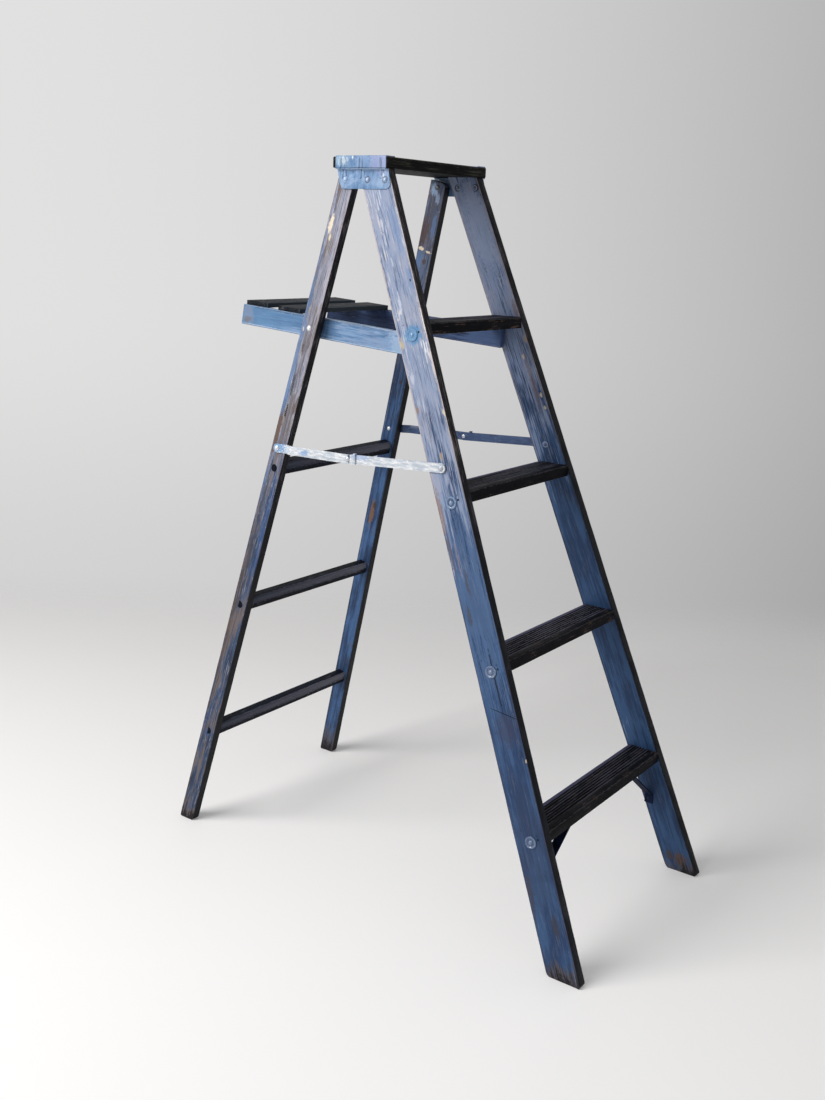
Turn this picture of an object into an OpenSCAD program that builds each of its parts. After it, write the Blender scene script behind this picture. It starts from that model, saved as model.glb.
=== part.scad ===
// Wooden folding stepladder: four grooved steps between two side rails, a top cap held by pressed
// steel brackets, a hinged rear frame with three rungs, two folding spreaders and a pail shelf.
// X is the width, the climbing side faces -Y, +Z is up and the floor is Z = 0. The origin is on the
// floor, in the middle of the four feet. All lengths are in millimetres and all angles in degrees.

/* [Overall] */
// Height of the top cap above the floor
ladder_h = 1491.2; // [1470:0.1:1540]
// Lean of the side rails from the vertical
front_lean = 22; // [20:0.5:24]
// Lean of the rear legs from the vertical
rear_lean = 14; // [12:0.5:16]
// Width over the side rails at the floor
front_floor_w = 552.6; // [530:0.2:575]
// Width over the rear legs at the floor
rear_floor_w = 529.4; // [510:0.2:545]
// Width over the side rails just under the cap
top_w = 328.6; // [315:0.2:345]

/* [Side rails] */
// Width of a side rail board
rail_w = 68; // [62:0.5:76]
// Thickness of a side rail board
rail_t = 19.5; // [17:0.5:23]

/* [Steps] */
// Height of the first tread above the floor
first_step_h = 274; // [250:1:290]
// Rise from one tread to the next
step_pitch = 304.8; // [295:0.1:310]
// Thickness of a step
step_t = 22.8; // [19:0.1:27]
// Depth of a tread, front to back
step_d = 70; // [62:0.5:72]
// How far a step's front edge stands in front of the rails at tread level
step_proud = 1; // [0:0.5:3]
// Radius of a step's upper front edge
nose_r = 4; // [2:0.5:7]
// Depth of the housings in the rails that take the step ends
housing_depth = 3; // [1.5:0.5:6]
// Number of grooves along each tread
groove_count = 7; // [5:1:8]
// Width of a groove
groove_w = 3; // [2:0.1:3.6]
// Depth of a groove
groove_depth = 2; // [1:0.1:3]
// Distance between the middles of neighbouring grooves
groove_pitch = 6.6; // [5.5:0.1:7]
// Distance from a tread's back edge to the middle of its first groove
groove_margin = 10; // [7:0.5:12]

/* [Truss rods and step fasteners] */
// Diameter of the steel rod under each step
truss_rod_d = 5; // [4:0.5:7]
// How far a rod's middle lies below the underside of its step
truss_rod_drop = 1.5; // [0:0.1:2.5]
// Diameter of the dished washer on each rod end
truss_washer_d = 25; // [20:0.5:30]
// Thickness of a dished washer's flat
truss_washer_t = 1.2; // [0.8:0.1:2]
// Height of a dished washer's rim above its flat
truss_rim_h = 1; // [0.5:0.1:2]
// Diameter of the nails through the rails into the step ends
nail_d = 3; // [2.5:0.1:4]
// Length of a step nail
nail_len = 44; // [35:1:55]
// How far a nail lies below the tread
nail_drop = 8; // [7:0.5:10]
// How far a nail head is set below the face of the wood
nail_set = 0.8; // [0.2:0.1:2]

/* [First step braces] */
// Width of the flat steel brace under each end of the first step
brace_w = 19; // [15:0.5:24]
// Thickness of a brace
brace_t = 2.5; // [2:0.1:4]
// Reach of a brace along the underside of the step, from the rail
brace_reach = 98; // [85:1:110]
// Drop of a brace down the rail, from the underside of the step
brace_drop = 82; // [70:1:100]
// Length of the screwed tab at each end of a brace
brace_tab = 22; // [18:1:28]
// Gap between the back edge of a brace and the truss rod
brace_rod_gap = 1; // [0.5:0.1:4]
// Shank diameter of a brace screw
brace_screw_d = 4; // [3:0.5:5]
// Length of a brace screw below its head
brace_screw_len = 14; // [10:1:16]

/* [Top cap] */
// Thickness of the cap board
cap_t = 21.2; // [18:0.1:28]
// Depth of the cap board, front to back
cap_d = 133; // [125:0.5:145]
// How far the cap board reaches past each side rail
cap_end_over = 7.9; // [6:0.1:12]
// How far the cap reaches in front of the side rails
cap_front_over = 3; // [0:0.5:6]
// Radius along the cap's front and back edges
cap_edge_r = 3; // [1:0.5:8]

/* [Cap brackets] */
// Thickness of the pressed steel brackets
bracket_t = 1.8; // [1.2:0.1:2.5]
// Width of the lip that folds over the top of the cap
bracket_lip = 27; // [20:1:40]
// How far the side plate hangs below the cap
bracket_drop = 38.8; // [34:0.5:46]
// Gap between the front end of a bracket and the cap's front edge
bracket_inset = 2.5; // [1:0.5:4]
// Gap between the back end of a bracket's side plate and the cap's back edge
bracket_rear_inset = 4.5; // [2:0.5:7]
// How far the band around the cap's end stops short of the side plate's back end
band_rear_set = 3; // [1:0.5:5]
// Corner radius at the bottom of the side plate
bracket_corner_r = 8; // [4:0.5:10]
// Slant of the side plate's front edge, from top to bottom
bracket_front_slant = 10; // [5:0.5:13]
// Slant of the side plate's back edge, from top to bottom
bracket_rear_slant = 14; // [10:0.5:18]
// Radius of the pressed stiffening beads
bead_r = 3.6; // [3:0.1:4.4]
// Length of a bead below the cap
bead_len = 17; // [12:0.5:20]
// Shank diameter of the bracket rivets
bracket_rivet_d = 5; // [4:0.5:6]

/* [Rear frame] */
// Width of a rear leg board
leg_w = 40; // [36:0.5:44]
// Thickness of a rear leg board
leg_t = 18; // [16:0.5:21]
// Distance from a side rail's back edge to the hinge, at hinge height
hinge_behind = 37.5; // [36:0.5:42]
// Distance from the underside of the cap down to the hinge
hinge_drop = 21.1; // [19:0.1:24]
// Diameter of the hinge rivets
hinge_rivet_d = 6.5; // [5:0.5:8]
// Side gap between the rear legs and the brackets
hinge_side_gap = 1.3; // [1.2:0.1:1.8]
// Height of the lowest rung's middle above the floor
first_rung_h = 233; // [215:1:255]
// Rise from one rung to the next
rung_pitch = 314; // [305:0.5:318]
// Height of a rung's section, along the legs
rung_h = 30; // [26:0.5:36]
// Depth of a rung's section
rung_d = 24; // [20:0.5:28]
// Diameter of the round tenons on the rung ends
tenon_d = 16; // [12:0.5:18]

/* [Spreaders] */
// Width of a spreader bar
bar_w = 18.5; // [16:0.5:22]
// Thickness of a spreader bar
bar_t = 3; // [2:0.1:4]
// Height of the pivot on the side rail
spreader_front_z = 922; // [900:1:940]
// Distance of that pivot behind the rail's front edge
spreader_front_set = 40; // [33:0.5:44]
// Height of the pivot on the rear leg
spreader_rear_z = 905; // [892:1:930]
// Distance of that pivot behind the leg's front edge
spreader_rear_set = 23.5; // [18:0.5:25]
// Length of the front bar from its pivot to the knee
front_bar_len = 226.4; // [200:0.1:240]
// How far the knee sits below the line between the two pivots when locked
knee_sag = 4; // [1:0.5:6]
// How far the rear bar runs past the knee to its stop lug
knee_tail = 20; // [15:0.5:26]
// Length of the lug that rests on the front bar
lug_len = 5; // [3:0.5:7]
// Diameter of the pivot and knee rivets
bar_rivet_d = 6; // [5:0.5:7]

/* [Pail shelf] */
// Height of the shelf pivots above the floor
shelf_pivot_z = 1157.5; // [1154:0.5:1160]
// Length of a shelf arm behind its pivot
arm_rear_len = 219; // [190:1:225]
// Height of a shelf arm board
arm_h = 42; // [38:0.5:44]
// Thickness of a shelf arm board
arm_t = 15.5; // [12:0.5:18]
// How far the arm ends reach forward under the fourth step
arm_catch = 31.5; // [20:0.5:32.5]
// Gap between the arms and the lower back edge of that step
arm_catch_gap = 0.7; // [0.3:0.1:1.5]
// Side gap between an arm's front end and the side rail
arm_front_gap = 1.2; // [0.8:0.1:3]
// Side gap between an arm's back end and the rear leg when the shelf is folded
arm_rear_gap = 2; // [1:0.1:4]
// Least side gap between an arm and the rear leg at the shelf pivot
arm_leg_gap = 9; // [5:0.1:11]
// Width of a slat
slat_w = 60; // [50:1:70]
// Thickness of a slat
slat_t = 9.5; // [7:0.1:12]
// Gap between the two slats
slat_gap = 33; // [20:1:40]
// Distance from the arm's back end to the rear slat
slat_end_set = 10; // [4:0.5:16]
// How far the slat ends stop short of the arms' outer faces
slat_side_set = 1.6; // [1:0.1:5]
// Diameter of the shelf pivot bolts
shelf_bolt_d = 6; // [5:0.5:8]

/* [Fits] */
// Radial clearance of a rivet or bolt in the hole it turns in
turn_gap = 0.08; // [0.03:0.01:0.1]
// Side gap between flat pieces that slide past each other
slide_gap = 0.4; // [0.3:0.05:0.6]

/* [Hidden] */
$fn = 48;

// Colours of the finishes
rail_blue = "steelblue";
leg_blue = "cadetblue";
step_black = "darkslategray";
bracket_blue = "lightsteelblue";
bar_white = "gainsboro";
rivet_grey = "silver";

// Reach of a cutting shape past what it cuts
past = 1;
// Half the reach of a shape that crosses the whole ladder
far_x = front_floor_w;

// Levels
cap_under_z = ladder_h - cap_t;
hinge_z = cap_under_z - hinge_drop;

// Front-to-back layout, with the feet the same distance from the origin front and back
rail_d = rail_w / cos(front_lean);
leg_d = leg_w / cos(rear_lean);
spread = hinge_z * (tan(front_lean) + tan(rear_lean)) + rail_d + hinge_behind + leg_d / 2;
hinge_y = spread / 2 - leg_d / 2 - hinge_z * tan(rear_lean);
function rail_front_y(z) = -spread / 2 + z * tan(front_lean);
function rail_rear_y(z) = rail_front_y(z) + rail_d;
function leg_rear_y(z) = spread / 2 - z * tan(rear_lean);
function leg_front_y(z) = leg_rear_y(z) - leg_d;
function leg_mid_y(z) = leg_rear_y(z) - leg_d / 2;

// Side-to-side layout: the rails and the legs flare out towards the floor
leg_top_w = top_w - 2 * hinge_side_gap;
front_flare = atan((front_floor_w - top_w) / 2 / cap_under_z);
rear_flare = atan((rear_floor_w - leg_top_w) / 2 / cap_under_z);
function rail_out_x(z) = front_floor_w / 2 - z * tan(front_flare);
function rail_in_x(z) = rail_out_x(z) - rail_t / cos(front_flare);
function leg_out_x(z) = rear_floor_w / 2 - z * tan(rear_flare);
function leg_in_x(z) = leg_out_x(z) - leg_t / cos(rear_flare);

// Steps
function tread_z(k) = first_step_h + (k - 1) * step_pitch;
function step_front_y(k) = rail_front_y(tread_z(k)) - step_proud;
function rod_z(k) = tread_z(k) - step_t - truss_rod_drop;
function rod_y(k) = rail_front_y(rod_z(k)) + rail_d / 2;
function nail_z(k) = tread_z(k) - nail_drop;
nail_shares = [0.27, 0.73];
function nail_y(k, share) = rail_front_y(nail_z(k)) + share * rail_d;
step_ks = [1:4];

// Bracket rivets through the side rails, behind the rail's front edge at hinge height
bracket_rivet_sets = [rail_d * 0.19, rail_d * 0.76];
function bracket_rivet_y(i) = rail_front_y(hinge_z) + bracket_rivet_sets[i];
cap_front_y = rail_front_y(cap_under_z) - cap_front_over;
cap_half = top_w / 2 + cap_end_over;
bracket_y0 = cap_front_y + bracket_inset;
bracket_y1 = cap_front_y + cap_d - bracket_rear_inset;
band_y1 = bracket_y1 - band_rear_set;

// Rivet heads, washers and tails
head_share = 1.9;
head_h = 2.6;
washer_t = 1.2;
washer_share = 2.2;
tail_share = 1.5;
tail_h = 1.6;
// How far a shank runs up into its head and tail, as a share of their height
shank_share = 0.4;

// Spreader pivots and knee, as [y, z]
front_pivot = [rail_front_y(spreader_front_z) + spreader_front_set, spreader_front_z];
rear_pivot = [leg_front_y(spreader_rear_z) + spreader_rear_set, spreader_rear_z];
pivot_span = rear_pivot - front_pivot;
span_dir = pivot_span / norm(pivot_span);
knee = front_pivot + front_bar_len * span_dir + knee_sag * [span_dir[1], -span_dir[0]];
front_bar_angle = atan2(knee[1] - front_pivot[1], knee[0] - front_pivot[0]);
rear_bar_angle = atan2(rear_pivot[1] - knee[1], rear_pivot[0] - knee[0]);
knee_bend = rear_bar_angle - front_bar_angle;
front_bar_reach = norm(knee - front_pivot);
rear_bar_reach = norm(rear_pivot - knee);
front_bar_x = rail_out_x(front_pivot[1] - bar_w / 2) + slide_gap;
rear_bar_x = front_bar_x + bar_t + slide_gap;
rear_bar_seat_x = leg_out_x(rear_pivot[1] - bar_w / 2) + slide_gap;
joggle_start = rear_pivot[0] - leg_front_y(rear_pivot[1]) + 4;
joggle_len = 14;

// Pail shelf: it turns on the rear legs and its front ends catch under the fourth step
shelf_y = leg_mid_y(shelf_pivot_z);
catch_y = step_front_y(4) + step_d;
catch_z = tread_z(4) - step_t - arm_catch_gap;
arm_front_len = shelf_y - catch_y + arm_catch;
catch_span = [shelf_y - catch_y, catch_z - shelf_pivot_z];
shelf_tilt = asin(arm_h / 2 / norm(catch_span)) - atan2(catch_span[1], catch_span[0]);
arm_front_x = rail_in_x(catch_z) - arm_front_gap;
arm_rear_x = leg_in_x(shelf_pivot_z + arm_rear_len * cos(rear_lean)) - arm_rear_gap;
// An arm closes in towards the back by the smaller of the two turns that its gaps leave it
turn_to_front = asin((arm_front_x - arm_rear_x) / (arm_front_len + arm_rear_len));
turn_to_pivot = asin((leg_in_x(shelf_pivot_z) - arm_leg_gap - arm_rear_x) / arm_rear_len);
arm_turn = min(turn_to_front, turn_to_pivot);
function arm_out_x(along) = arm_rear_x + (arm_rear_len - along) * tan(arm_turn);
slat_rear_y = arm_rear_len - slat_end_set - slat_w;
slat_front_y = slat_rear_y - slat_gap - slat_w;
// Side gap at an arm's bolt, wide enough for the slanted arm to turn against a square end
arm_side_gap = slide_gap + shelf_bolt_d * tan(arm_turn);

// ---- Helpers ----

// Puts a child that is drawn for the left side on both sides
module both_sides() {
    children();
    mirror([1, 0, 0]) children();
}

// Frame of the left rail's outer face: +X goes into the wood, +Z up along the slanted face
module in_rail_face() {
    translate([-front_floor_w / 2, 0, 0]) rotate([0, front_flare, 0]) children();
}

// Frame of the left rear leg's outer face
module in_leg_face() {
    translate([-rear_floor_w / 2, 0, 0]) rotate([0, rear_flare, 0]) children();
}

// A board lying against an outer face: a leaning strip, floor_y being its front edge at the floor
module leaning_board(floor_y, slope, depth, thick, top_s) {
    low = -4 * thick;
    rotate([90, 0, 90]) linear_extrude(thick) polygon([
        [floor_y + slope * low, low],
        [floor_y + slope * low + depth, low],
        [floor_y + slope * top_s + depth, top_s],
        [floor_y + slope * top_s, top_s]
    ]);
}

// Keeps what lies between the floor and a level
module between_floor_and(level) {
    intersection() {
        children();
        translate([-far_x, -spread, 0]) cube([2 * far_x, 2 * spread, level]);
    }
}

// Wedge of space between the two rails, its sides a given depth behind their outer faces
module space_between(half_floor, flare, inset) {
    half0 = half_floor - inset / cos(flare);
    drop = ladder_h * tan(flare);
    translate([0, spread, 0]) rotate([90, 0, 0]) linear_extrude(2 * spread)
        polygon([[-half0, 0], [half0, 0], [half0 - drop, ladder_h], [drop - half0, ladder_h]]);
}

// Round bar along X, centred on x = 0
module cross_bar(y, z, d, half) {
    translate([-half, y, z]) rotate([0, 90, 0]) cylinder(d = d, h = 2 * half);
}

// Rectangle with rounded corners, from the origin
module round_rect(w, h, r) {
    translate([r, 0]) square([w - 2 * r, h]);
    translate([0, r]) square([w, h - 2 * r]);
    for (x = [r, w - r], y = [r, h - r]) translate([x, y]) circle(r);
}

// Domed head, standing on z = 0
module dome(r, h) {
    ball = (r * r + h * h) / (2 * h);
    intersection() {
        translate([0, 0, h - ball]) sphere(ball);
        cylinder(r = r + past, h = h + past);
    }
}

// Flat bar with round ends from [0, 0] along +Y, as an outline in Y and Z
module bar_outline(reach, width) {
    translate([0, -width / 2]) square([reach, width]);
    circle(d = width);
    translate([reach, 0]) circle(d = width);
}

// ---- Side rails and steps ----

module step_blank(k) {
    translate([-far_x, step_front_y(k), tread_z(k) - step_t]) cube([2 * far_x, step_d, step_t]);
}

module rail_board() {
    between_floor_and(cap_under_z) in_rail_face() leaning_board(
        -spread / 2, tan(front_lean) * cos(front_flare), rail_d, rail_t, ladder_h);
}

module side_rail() {
    color(rail_blue) difference() {
        rail_board();
        intersection() {
            for (k = step_ks) step_blank(k);
            space_between(front_floor_w / 2, front_flare, rail_t - housing_depth);
        }
        for (k = step_ks) {
            cross_bar(rod_y(k), rod_z(k), truss_rod_d + 2 * turn_gap, far_x);
            for (share = nail_shares) cross_bar(nail_y(k, share), nail_z(k), nail_d, far_x);
        }
        for (i = [0, 1]) cross_bar(bracket_rivet_y(i), hinge_z, bracket_rivet_d, far_x);
        cross_bar(front_pivot[0], front_pivot[1], bar_rivet_d, far_x);
        brace_rail_screw(0);
    }
}

module step_profile() {
    difference() {
        square([step_d, step_t]);
        translate([0, step_t - nose_r]) difference() {
            translate([-past, 0]) square([nose_r + past, nose_r + past]);
            translate([nose_r, 0]) circle(nose_r);
        }
        for (i = [0:groove_count - 1])
            translate([step_d - groove_margin - i * groove_pitch - groove_w / 2, step_t - groove_depth])
                square([groove_w, groove_depth + past]);
    }
}

module step(k) {
    color(step_black) difference() {
        intersection() {
            translate([-far_x, step_front_y(k), tread_z(k) - step_t])
                rotate([90, 0, 90]) linear_extrude(2 * far_x) step_profile();
            space_between(front_floor_w / 2, front_flare, rail_t - housing_depth);
        }
        cross_bar(rod_y(k), rod_z(k), truss_rod_d + 2 * turn_gap, far_x);
        for (share = nail_shares) both_sides() step_nail(k, share);
        if (k == 1) both_sides() brace_step_screw(0);
    }
}

// ---- Truss rods, washers and nails ----

// Where a rod under step k comes through the left rail's outer face
module at_rod_end(k) {
    in_rail_face() translate([0, rod_y(k), rod_z(k) / cos(front_flare)]) rotate([0, -90, 0])
        children();
}

module truss_rod(k) {
    color(rivet_grey) {
        half = rail_out_x(rod_z(k)) + truss_washer_t + head_h * shank_share;
        cross_bar(rod_y(k), rod_z(k), truss_rod_d, half);
        both_sides() at_rod_end(k) translate([0, 0, truss_washer_t]) dome(truss_rod_d, head_h);
    }
}

module truss_washer() {
    hole_r = truss_rod_d / 2 + 0.4;
    rim_r = truss_washer_d / 2;
    rotate_extrude() polygon([
        [hole_r, 0], [rim_r, 0], [rim_r, truss_washer_t],
        [rim_r - 1, truss_washer_t + truss_rim_h], [rim_r - 3, truss_washer_t + truss_rim_h],
        [rim_r - 4.5, truss_washer_t], [hole_r, truss_washer_t]
    ]);
}

module truss_rod_washers() {
    color(rail_blue) for (k = step_ks) both_sides() at_rod_end(k) truss_washer();
}

module step_nail(k, share) {
    head_x = rail_out_x(nail_z(k)) - nail_set;
    translate([-head_x, nail_y(k, share), nail_z(k)]) rotate([0, 90, 0])
        cylinder(d = nail_d, h = nail_len);
}

module step_nails() {
    color(rivet_grey) for (k = step_ks, share = nail_shares) both_sides() step_nail(k, share);
}

// ---- Braces under the first step ----

brace_z0 = tread_z(1) - step_t;
brace_y0 = rod_y(1) - truss_rod_d / 2 - brace_rod_gap - brace_w;
brace_inner = rail_in_x(brace_z0) - brace_reach;
brace_low_z = brace_z0 - brace_drop;
brace_screw_y = brace_y0 + brace_w / 2;

module brace_profile() {
    low_x = -rail_in_x(brace_low_z);
    tab_z = brace_low_z - brace_tab;
    top_x = -brace_inner;
    polygon([
        [low_x, brace_low_z], [top_x, brace_z0], [top_x + brace_tab, brace_z0],
        [top_x + brace_tab, brace_z0 - brace_t], [top_x + brace_t / 2, brace_z0 - brace_t],
        [low_x + brace_t / cos(front_flare), brace_low_z - brace_t / 2],
        [-rail_in_x(tab_z) + brace_t / cos(front_flare), tab_z], [-rail_in_x(tab_z), tab_z]
    ]);
}

module brace_rail_screw(grow) {
    z = brace_low_z - brace_tab / 2;
    translate([brace_t / cos(front_flare) - rail_in_x(z), brace_screw_y, z])
        rotate([0, -90 + front_flare, 0]) screw(grow);
}

module brace_step_screw(grow) {
    translate([brace_tab / 2 - brace_inner, brace_screw_y, brace_z0 - brace_t]) screw(grow);
}

// Round-headed screw, its shank along +Z and its head below z = 0
module screw(grow) {
    translate([0, 0, -grow]) cylinder(d = brace_screw_d, h = brace_screw_len + grow);
    rotate([180, 0, 0]) dome(brace_screw_d, 2);
}

module step_brace() {
    color(rail_blue) difference() {
        translate([0, brace_y0 + brace_w, 0]) rotate([90, 0, 0]) linear_extrude(brace_w)
            brace_profile();
        brace_rail_screw(past);
        brace_step_screw(past);
    }
}

module brace_screws() {
    color(rivet_grey) both_sides() {
        brace_rail_screw(0);
        brace_step_screw(0);
    }
}

// ---- Top cap and brackets ----

module cap_nail_holes() {
    for (share = [0.2, 0.8]) {
        y = bracket_y0 + share * (bracket_y1 - bracket_y0);
        translate([bracket_lip * 0.6 - cap_half, y, ladder_h + bracket_t - nail_len / 2])
            cylinder(d = nail_d, h = nail_len / 2);
    }
}

module top_cap() {
    color(step_black) difference() {
        translate([-cap_half, cap_front_y, cap_under_z])
            rotate([90, 0, 90]) linear_extrude(2 * cap_half) round_rect(cap_d, cap_t, cap_edge_r);
        both_sides() cap_nail_holes();
    }
}

// Outline of the side plate in the rail face, as [y, height up the face]
module plate_outline() {
    top_s = (cap_under_z + bracket_t) / cos(front_flare);
    low_s = (cap_under_z - bracket_drop) / cos(front_flare);
    r = bracket_corner_r;
    y0 = bracket_y0 - bracket_front_slant;
    y1 = bracket_y1 - bracket_rear_slant;
    difference() {
        polygon([[bracket_y0, top_s], [bracket_y1, top_s], [y1, low_s], [y0, low_s]]);
        corner_cut(y0, low_s, r, 1);
        corner_cut(y1, low_s, r, -1);
    }
}

// What a rounded lower corner takes away; way is 1 at the front and -1 at the back
module corner_cut(y, s, r, way) {
    translate([y, s]) scale([way, 1]) difference() {
        translate([-r, -past]) square([1.8 * r, r + past]);
        translate([r * 0.8, r]) circle(r);
        translate([r * 0.8, -past]) square(2 * r);
    }
}

// The band around the cap's end, as an outline in X and Z
module band_outline() {
    out = -cap_half - bracket_t;
    low = cap_under_z - bracket_t;
    polygon([
        [out, low], [-rail_out_x(low), low],
        [-rail_out_x(cap_under_z), cap_under_z], [-cap_half, cap_under_z], [-cap_half, ladder_h],
        [bracket_lip - cap_half, ladder_h], [bracket_lip - cap_half, ladder_h + bracket_t],
        [out + bracket_t, ladder_h + bracket_t], [out, ladder_h]
    ]);
}

bead_shares = [0.12, 0.48, 0.88];
function bead_y(share) = bracket_y1 - share * (bracket_y1 - bracket_y0);

// A bead's round bar, sunk so that half of its radius stands out of the sheet
module bead(len) {
    cylinder(r = bead_r, h = len);
    sphere(bead_r);
}

// The part of a bead that runs up the band
module band_bead(share) {
    top = ladder_h - bead_r;
    intersection() {
        translate([-cap_half, bead_y(share), top]) mirror([0, 0, 1]) bead(top - cap_under_z);
        translate([-cap_half - past - 2 * bead_r, -spread, cap_under_z - bracket_t / 2])
            cube([2 * bead_r + past, 2 * spread, 2 * cap_t]);
    }
}

module cap_bracket() {
    low_s = (cap_under_z - bead_len) / cos(front_flare);
    color(bracket_blue) difference() {
        union() {
            translate([0, band_y1, 0]) rotate([90, 0, 0])
                linear_extrude(band_y1 - bracket_y0) band_outline();
            between_floor_and(cap_under_z) in_rail_face() translate([-bracket_t, 0, 0])
                rotate([90, 0, 90]) linear_extrude(bracket_t) plate_outline();
            for (share = bead_shares) {
                in_rail_face() intersection() {
                    translate([0, bead_y(share), low_s]) bead(bead_len);
                    translate([-2 * bead_r, -spread, 0])
                        cube([2 * bead_r, 2 * spread, cap_under_z]);
                }
                band_bead(share);
            }
        }
        for (i = [0, 1]) cross_bar(bracket_rivet_y(i), hinge_z, bracket_rivet_d, far_x);
        cross_bar(hinge_y, hinge_z, hinge_rivet_d, far_x);
        cap_nail_holes();
    }
}

module cap_nails() {
    color(rivet_grey) both_sides() cap_nail_holes();
}

// Rivet along X on the left side at [y, z], with its head outside and its tail inside; the seats
// of the head and of the tail may be slanted
module rivet(y, z, d, out_x, in_x, head_slant, tail_slant, tail_r) {
    translate([-out_x - head_h * shank_share, y, z]) rotate([0, 90, 0])
        cylinder(d = d, h = out_x - in_x + (head_h + tail_h) * shank_share);
    translate([-out_x, y, z]) rotate([0, head_slant - 90, 0]) dome(d * head_share / 2, head_h);
    translate([-in_x, y, z]) rotate([0, 90 + tail_slant, 0]) dome(tail_r, tail_h);
}

module bracket_rivets() {
    out_x = rail_out_x(hinge_z) + bracket_t / cos(front_flare);
    in_x = rail_in_x(hinge_z) - washer_t / cos(front_flare);
    color(rivet_grey) for (i = [0, 1]) both_sides()
        rivet(bracket_rivet_y(i), hinge_z, bracket_rivet_d, out_x, in_x, front_flare, front_flare,
            bracket_rivet_d * tail_share / 2);
}

// Flat washer on the inner face of the left rail at [y, z]
module rail_washer(y, z, d) {
    translate([-rail_in_x(z), y, z]) rotate([0, 90 + front_flare, 0]) difference() {
        cylinder(d = d * washer_share, h = washer_t);
        translate([0, 0, -past]) cylinder(d = d + 0.8, h = washer_t + 2 * past);
    }
}

module rivet_washers() {
    color(rivet_grey) both_sides() {
        for (i = [0, 1]) rail_washer(bracket_rivet_y(i), hinge_z, bracket_rivet_d);
        rail_washer(front_pivot[0], front_pivot[1], bar_rivet_d);
    }
}

// The rear legs turn on these; the inner heads keep clear of the legs
module hinge_rivets() {
    out_x = rail_out_x(hinge_z) + bracket_t / cos(front_flare);
    head_r = hinge_rivet_d * head_share / 2;
    in_x = leg_in_x(hinge_z) - head_r * tan(rear_flare) - slide_gap;
    color(rivet_grey) both_sides()
        rivet(hinge_y, hinge_z, hinge_rivet_d, out_x, in_x, front_flare, 0, head_r);
}

// ---- Rear frame ----

// Level, above the hinge, where a leg is cut square
leg_over = 12;
leg_corner_r = 12;

module leg_top_cut() {
    translate([-far_x, hinge_y, hinge_z]) rotate([rear_lean, 0, 0]) {
        translate([0, -leg_w, leg_over]) cube([2 * far_x, 2 * leg_w, 4 * leg_w]);
        translate([0, -leg_w / 2, leg_over - leg_corner_r]) difference() {
            translate([0, -past, 0]) cube([2 * far_x, leg_corner_r + past, leg_corner_r + past]);
            translate([-past, leg_corner_r, 0]) rotate([0, 90, 0])
                cylinder(r = leg_corner_r, h = 2 * far_x + 2 * past);
        }
    }
}

module rear_leg() {
    slope = -tan(rear_lean) * cos(rear_flare);
    color(leg_blue) difference() {
        between_floor_and(cap_under_z) in_leg_face() leaning_board(
            spread / 2 - leg_d, slope, leg_d, leg_t, ladder_h);
        leg_top_cut();
        cross_bar(hinge_y, hinge_z, hinge_rivet_d + 2 * turn_gap, far_x);
        for (k = [1:3]) cross_bar(leg_mid_y(rung_z(k)), rung_z(k), tenon_d, far_x);
        cross_bar(rear_pivot[0], rear_pivot[1], bar_rivet_d, far_x);
        cross_bar(shelf_y, shelf_pivot_z, shelf_bolt_d, far_x);
    }
}

function rung_z(k) = first_rung_h + (k - 1) * rung_pitch;

module rear_rung(k) {
    z = rung_z(k);
    color(step_black) {
        intersection() {
            translate([-far_x, leg_mid_y(z), z]) rotate([rear_lean, 0, 0]) rotate([90, 0, 90])
                translate([-rung_d / 2, -rung_h / 2]) linear_extrude(2 * far_x)
                    round_rect(rung_d, rung_h, 5);
            space_between(rear_floor_w / 2, rear_flare, leg_t);
        }
        intersection() {
            cross_bar(leg_mid_y(z), z, tenon_d, far_x);
            space_between(rear_floor_w / 2, rear_flare, 0);
        }
    }
}

// ---- Spreaders ----

module spreader_front_rivets() {
    out_x = front_bar_x + bar_t + slide_gap;
    in_x = rail_in_x(front_pivot[1]) - washer_t / cos(front_flare);
    color(rivet_grey) both_sides()
        rivet(front_pivot[0], front_pivot[1], bar_rivet_d, out_x, in_x, 0, front_flare,
            bar_rivet_d * tail_share / 2);
}

module spreader_rear_rivets() {
    out_x = rear_bar_seat_x + bar_t + slide_gap;
    color(rivet_grey) both_sides()
        rivet(rear_pivot[0], rear_pivot[1], bar_rivet_d, out_x, leg_in_x(rear_pivot[1]), 0,
            rear_flare, bar_rivet_d * tail_share / 2);
}

module front_bar() {
    color(bar_white) difference() {
        translate([-front_bar_x - bar_t, front_pivot[0], front_pivot[1]])
            rotate([front_bar_angle, 0, 0]) rotate([90, 0, 90]) linear_extrude(bar_t)
                bar_outline(front_bar_reach, bar_w);
        cross_bar(front_pivot[0], front_pivot[1], bar_rivet_d + 2 * turn_gap, far_x);
        cross_bar(knee[0], knee[1], bar_rivet_d, far_x);
    }
}

// Plan of the rear bar: it lies on the leg, then steps out to pass outside the front bar
module rear_bar_plan() {
    far = rear_bar_reach + knee_tail;
    end = joggle_start + joggle_len;
    polygon([
        [-rear_bar_seat_x, bar_w], [-rear_bar_seat_x, -joggle_start], [-rear_bar_x, -end],
        [-rear_bar_x, -far], [-rear_bar_x - bar_t, -far], [-rear_bar_x - bar_t, -end],
        [-rear_bar_seat_x - bar_t, -joggle_start], [-rear_bar_seat_x - bar_t, bar_w]
    ]);
}

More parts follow.
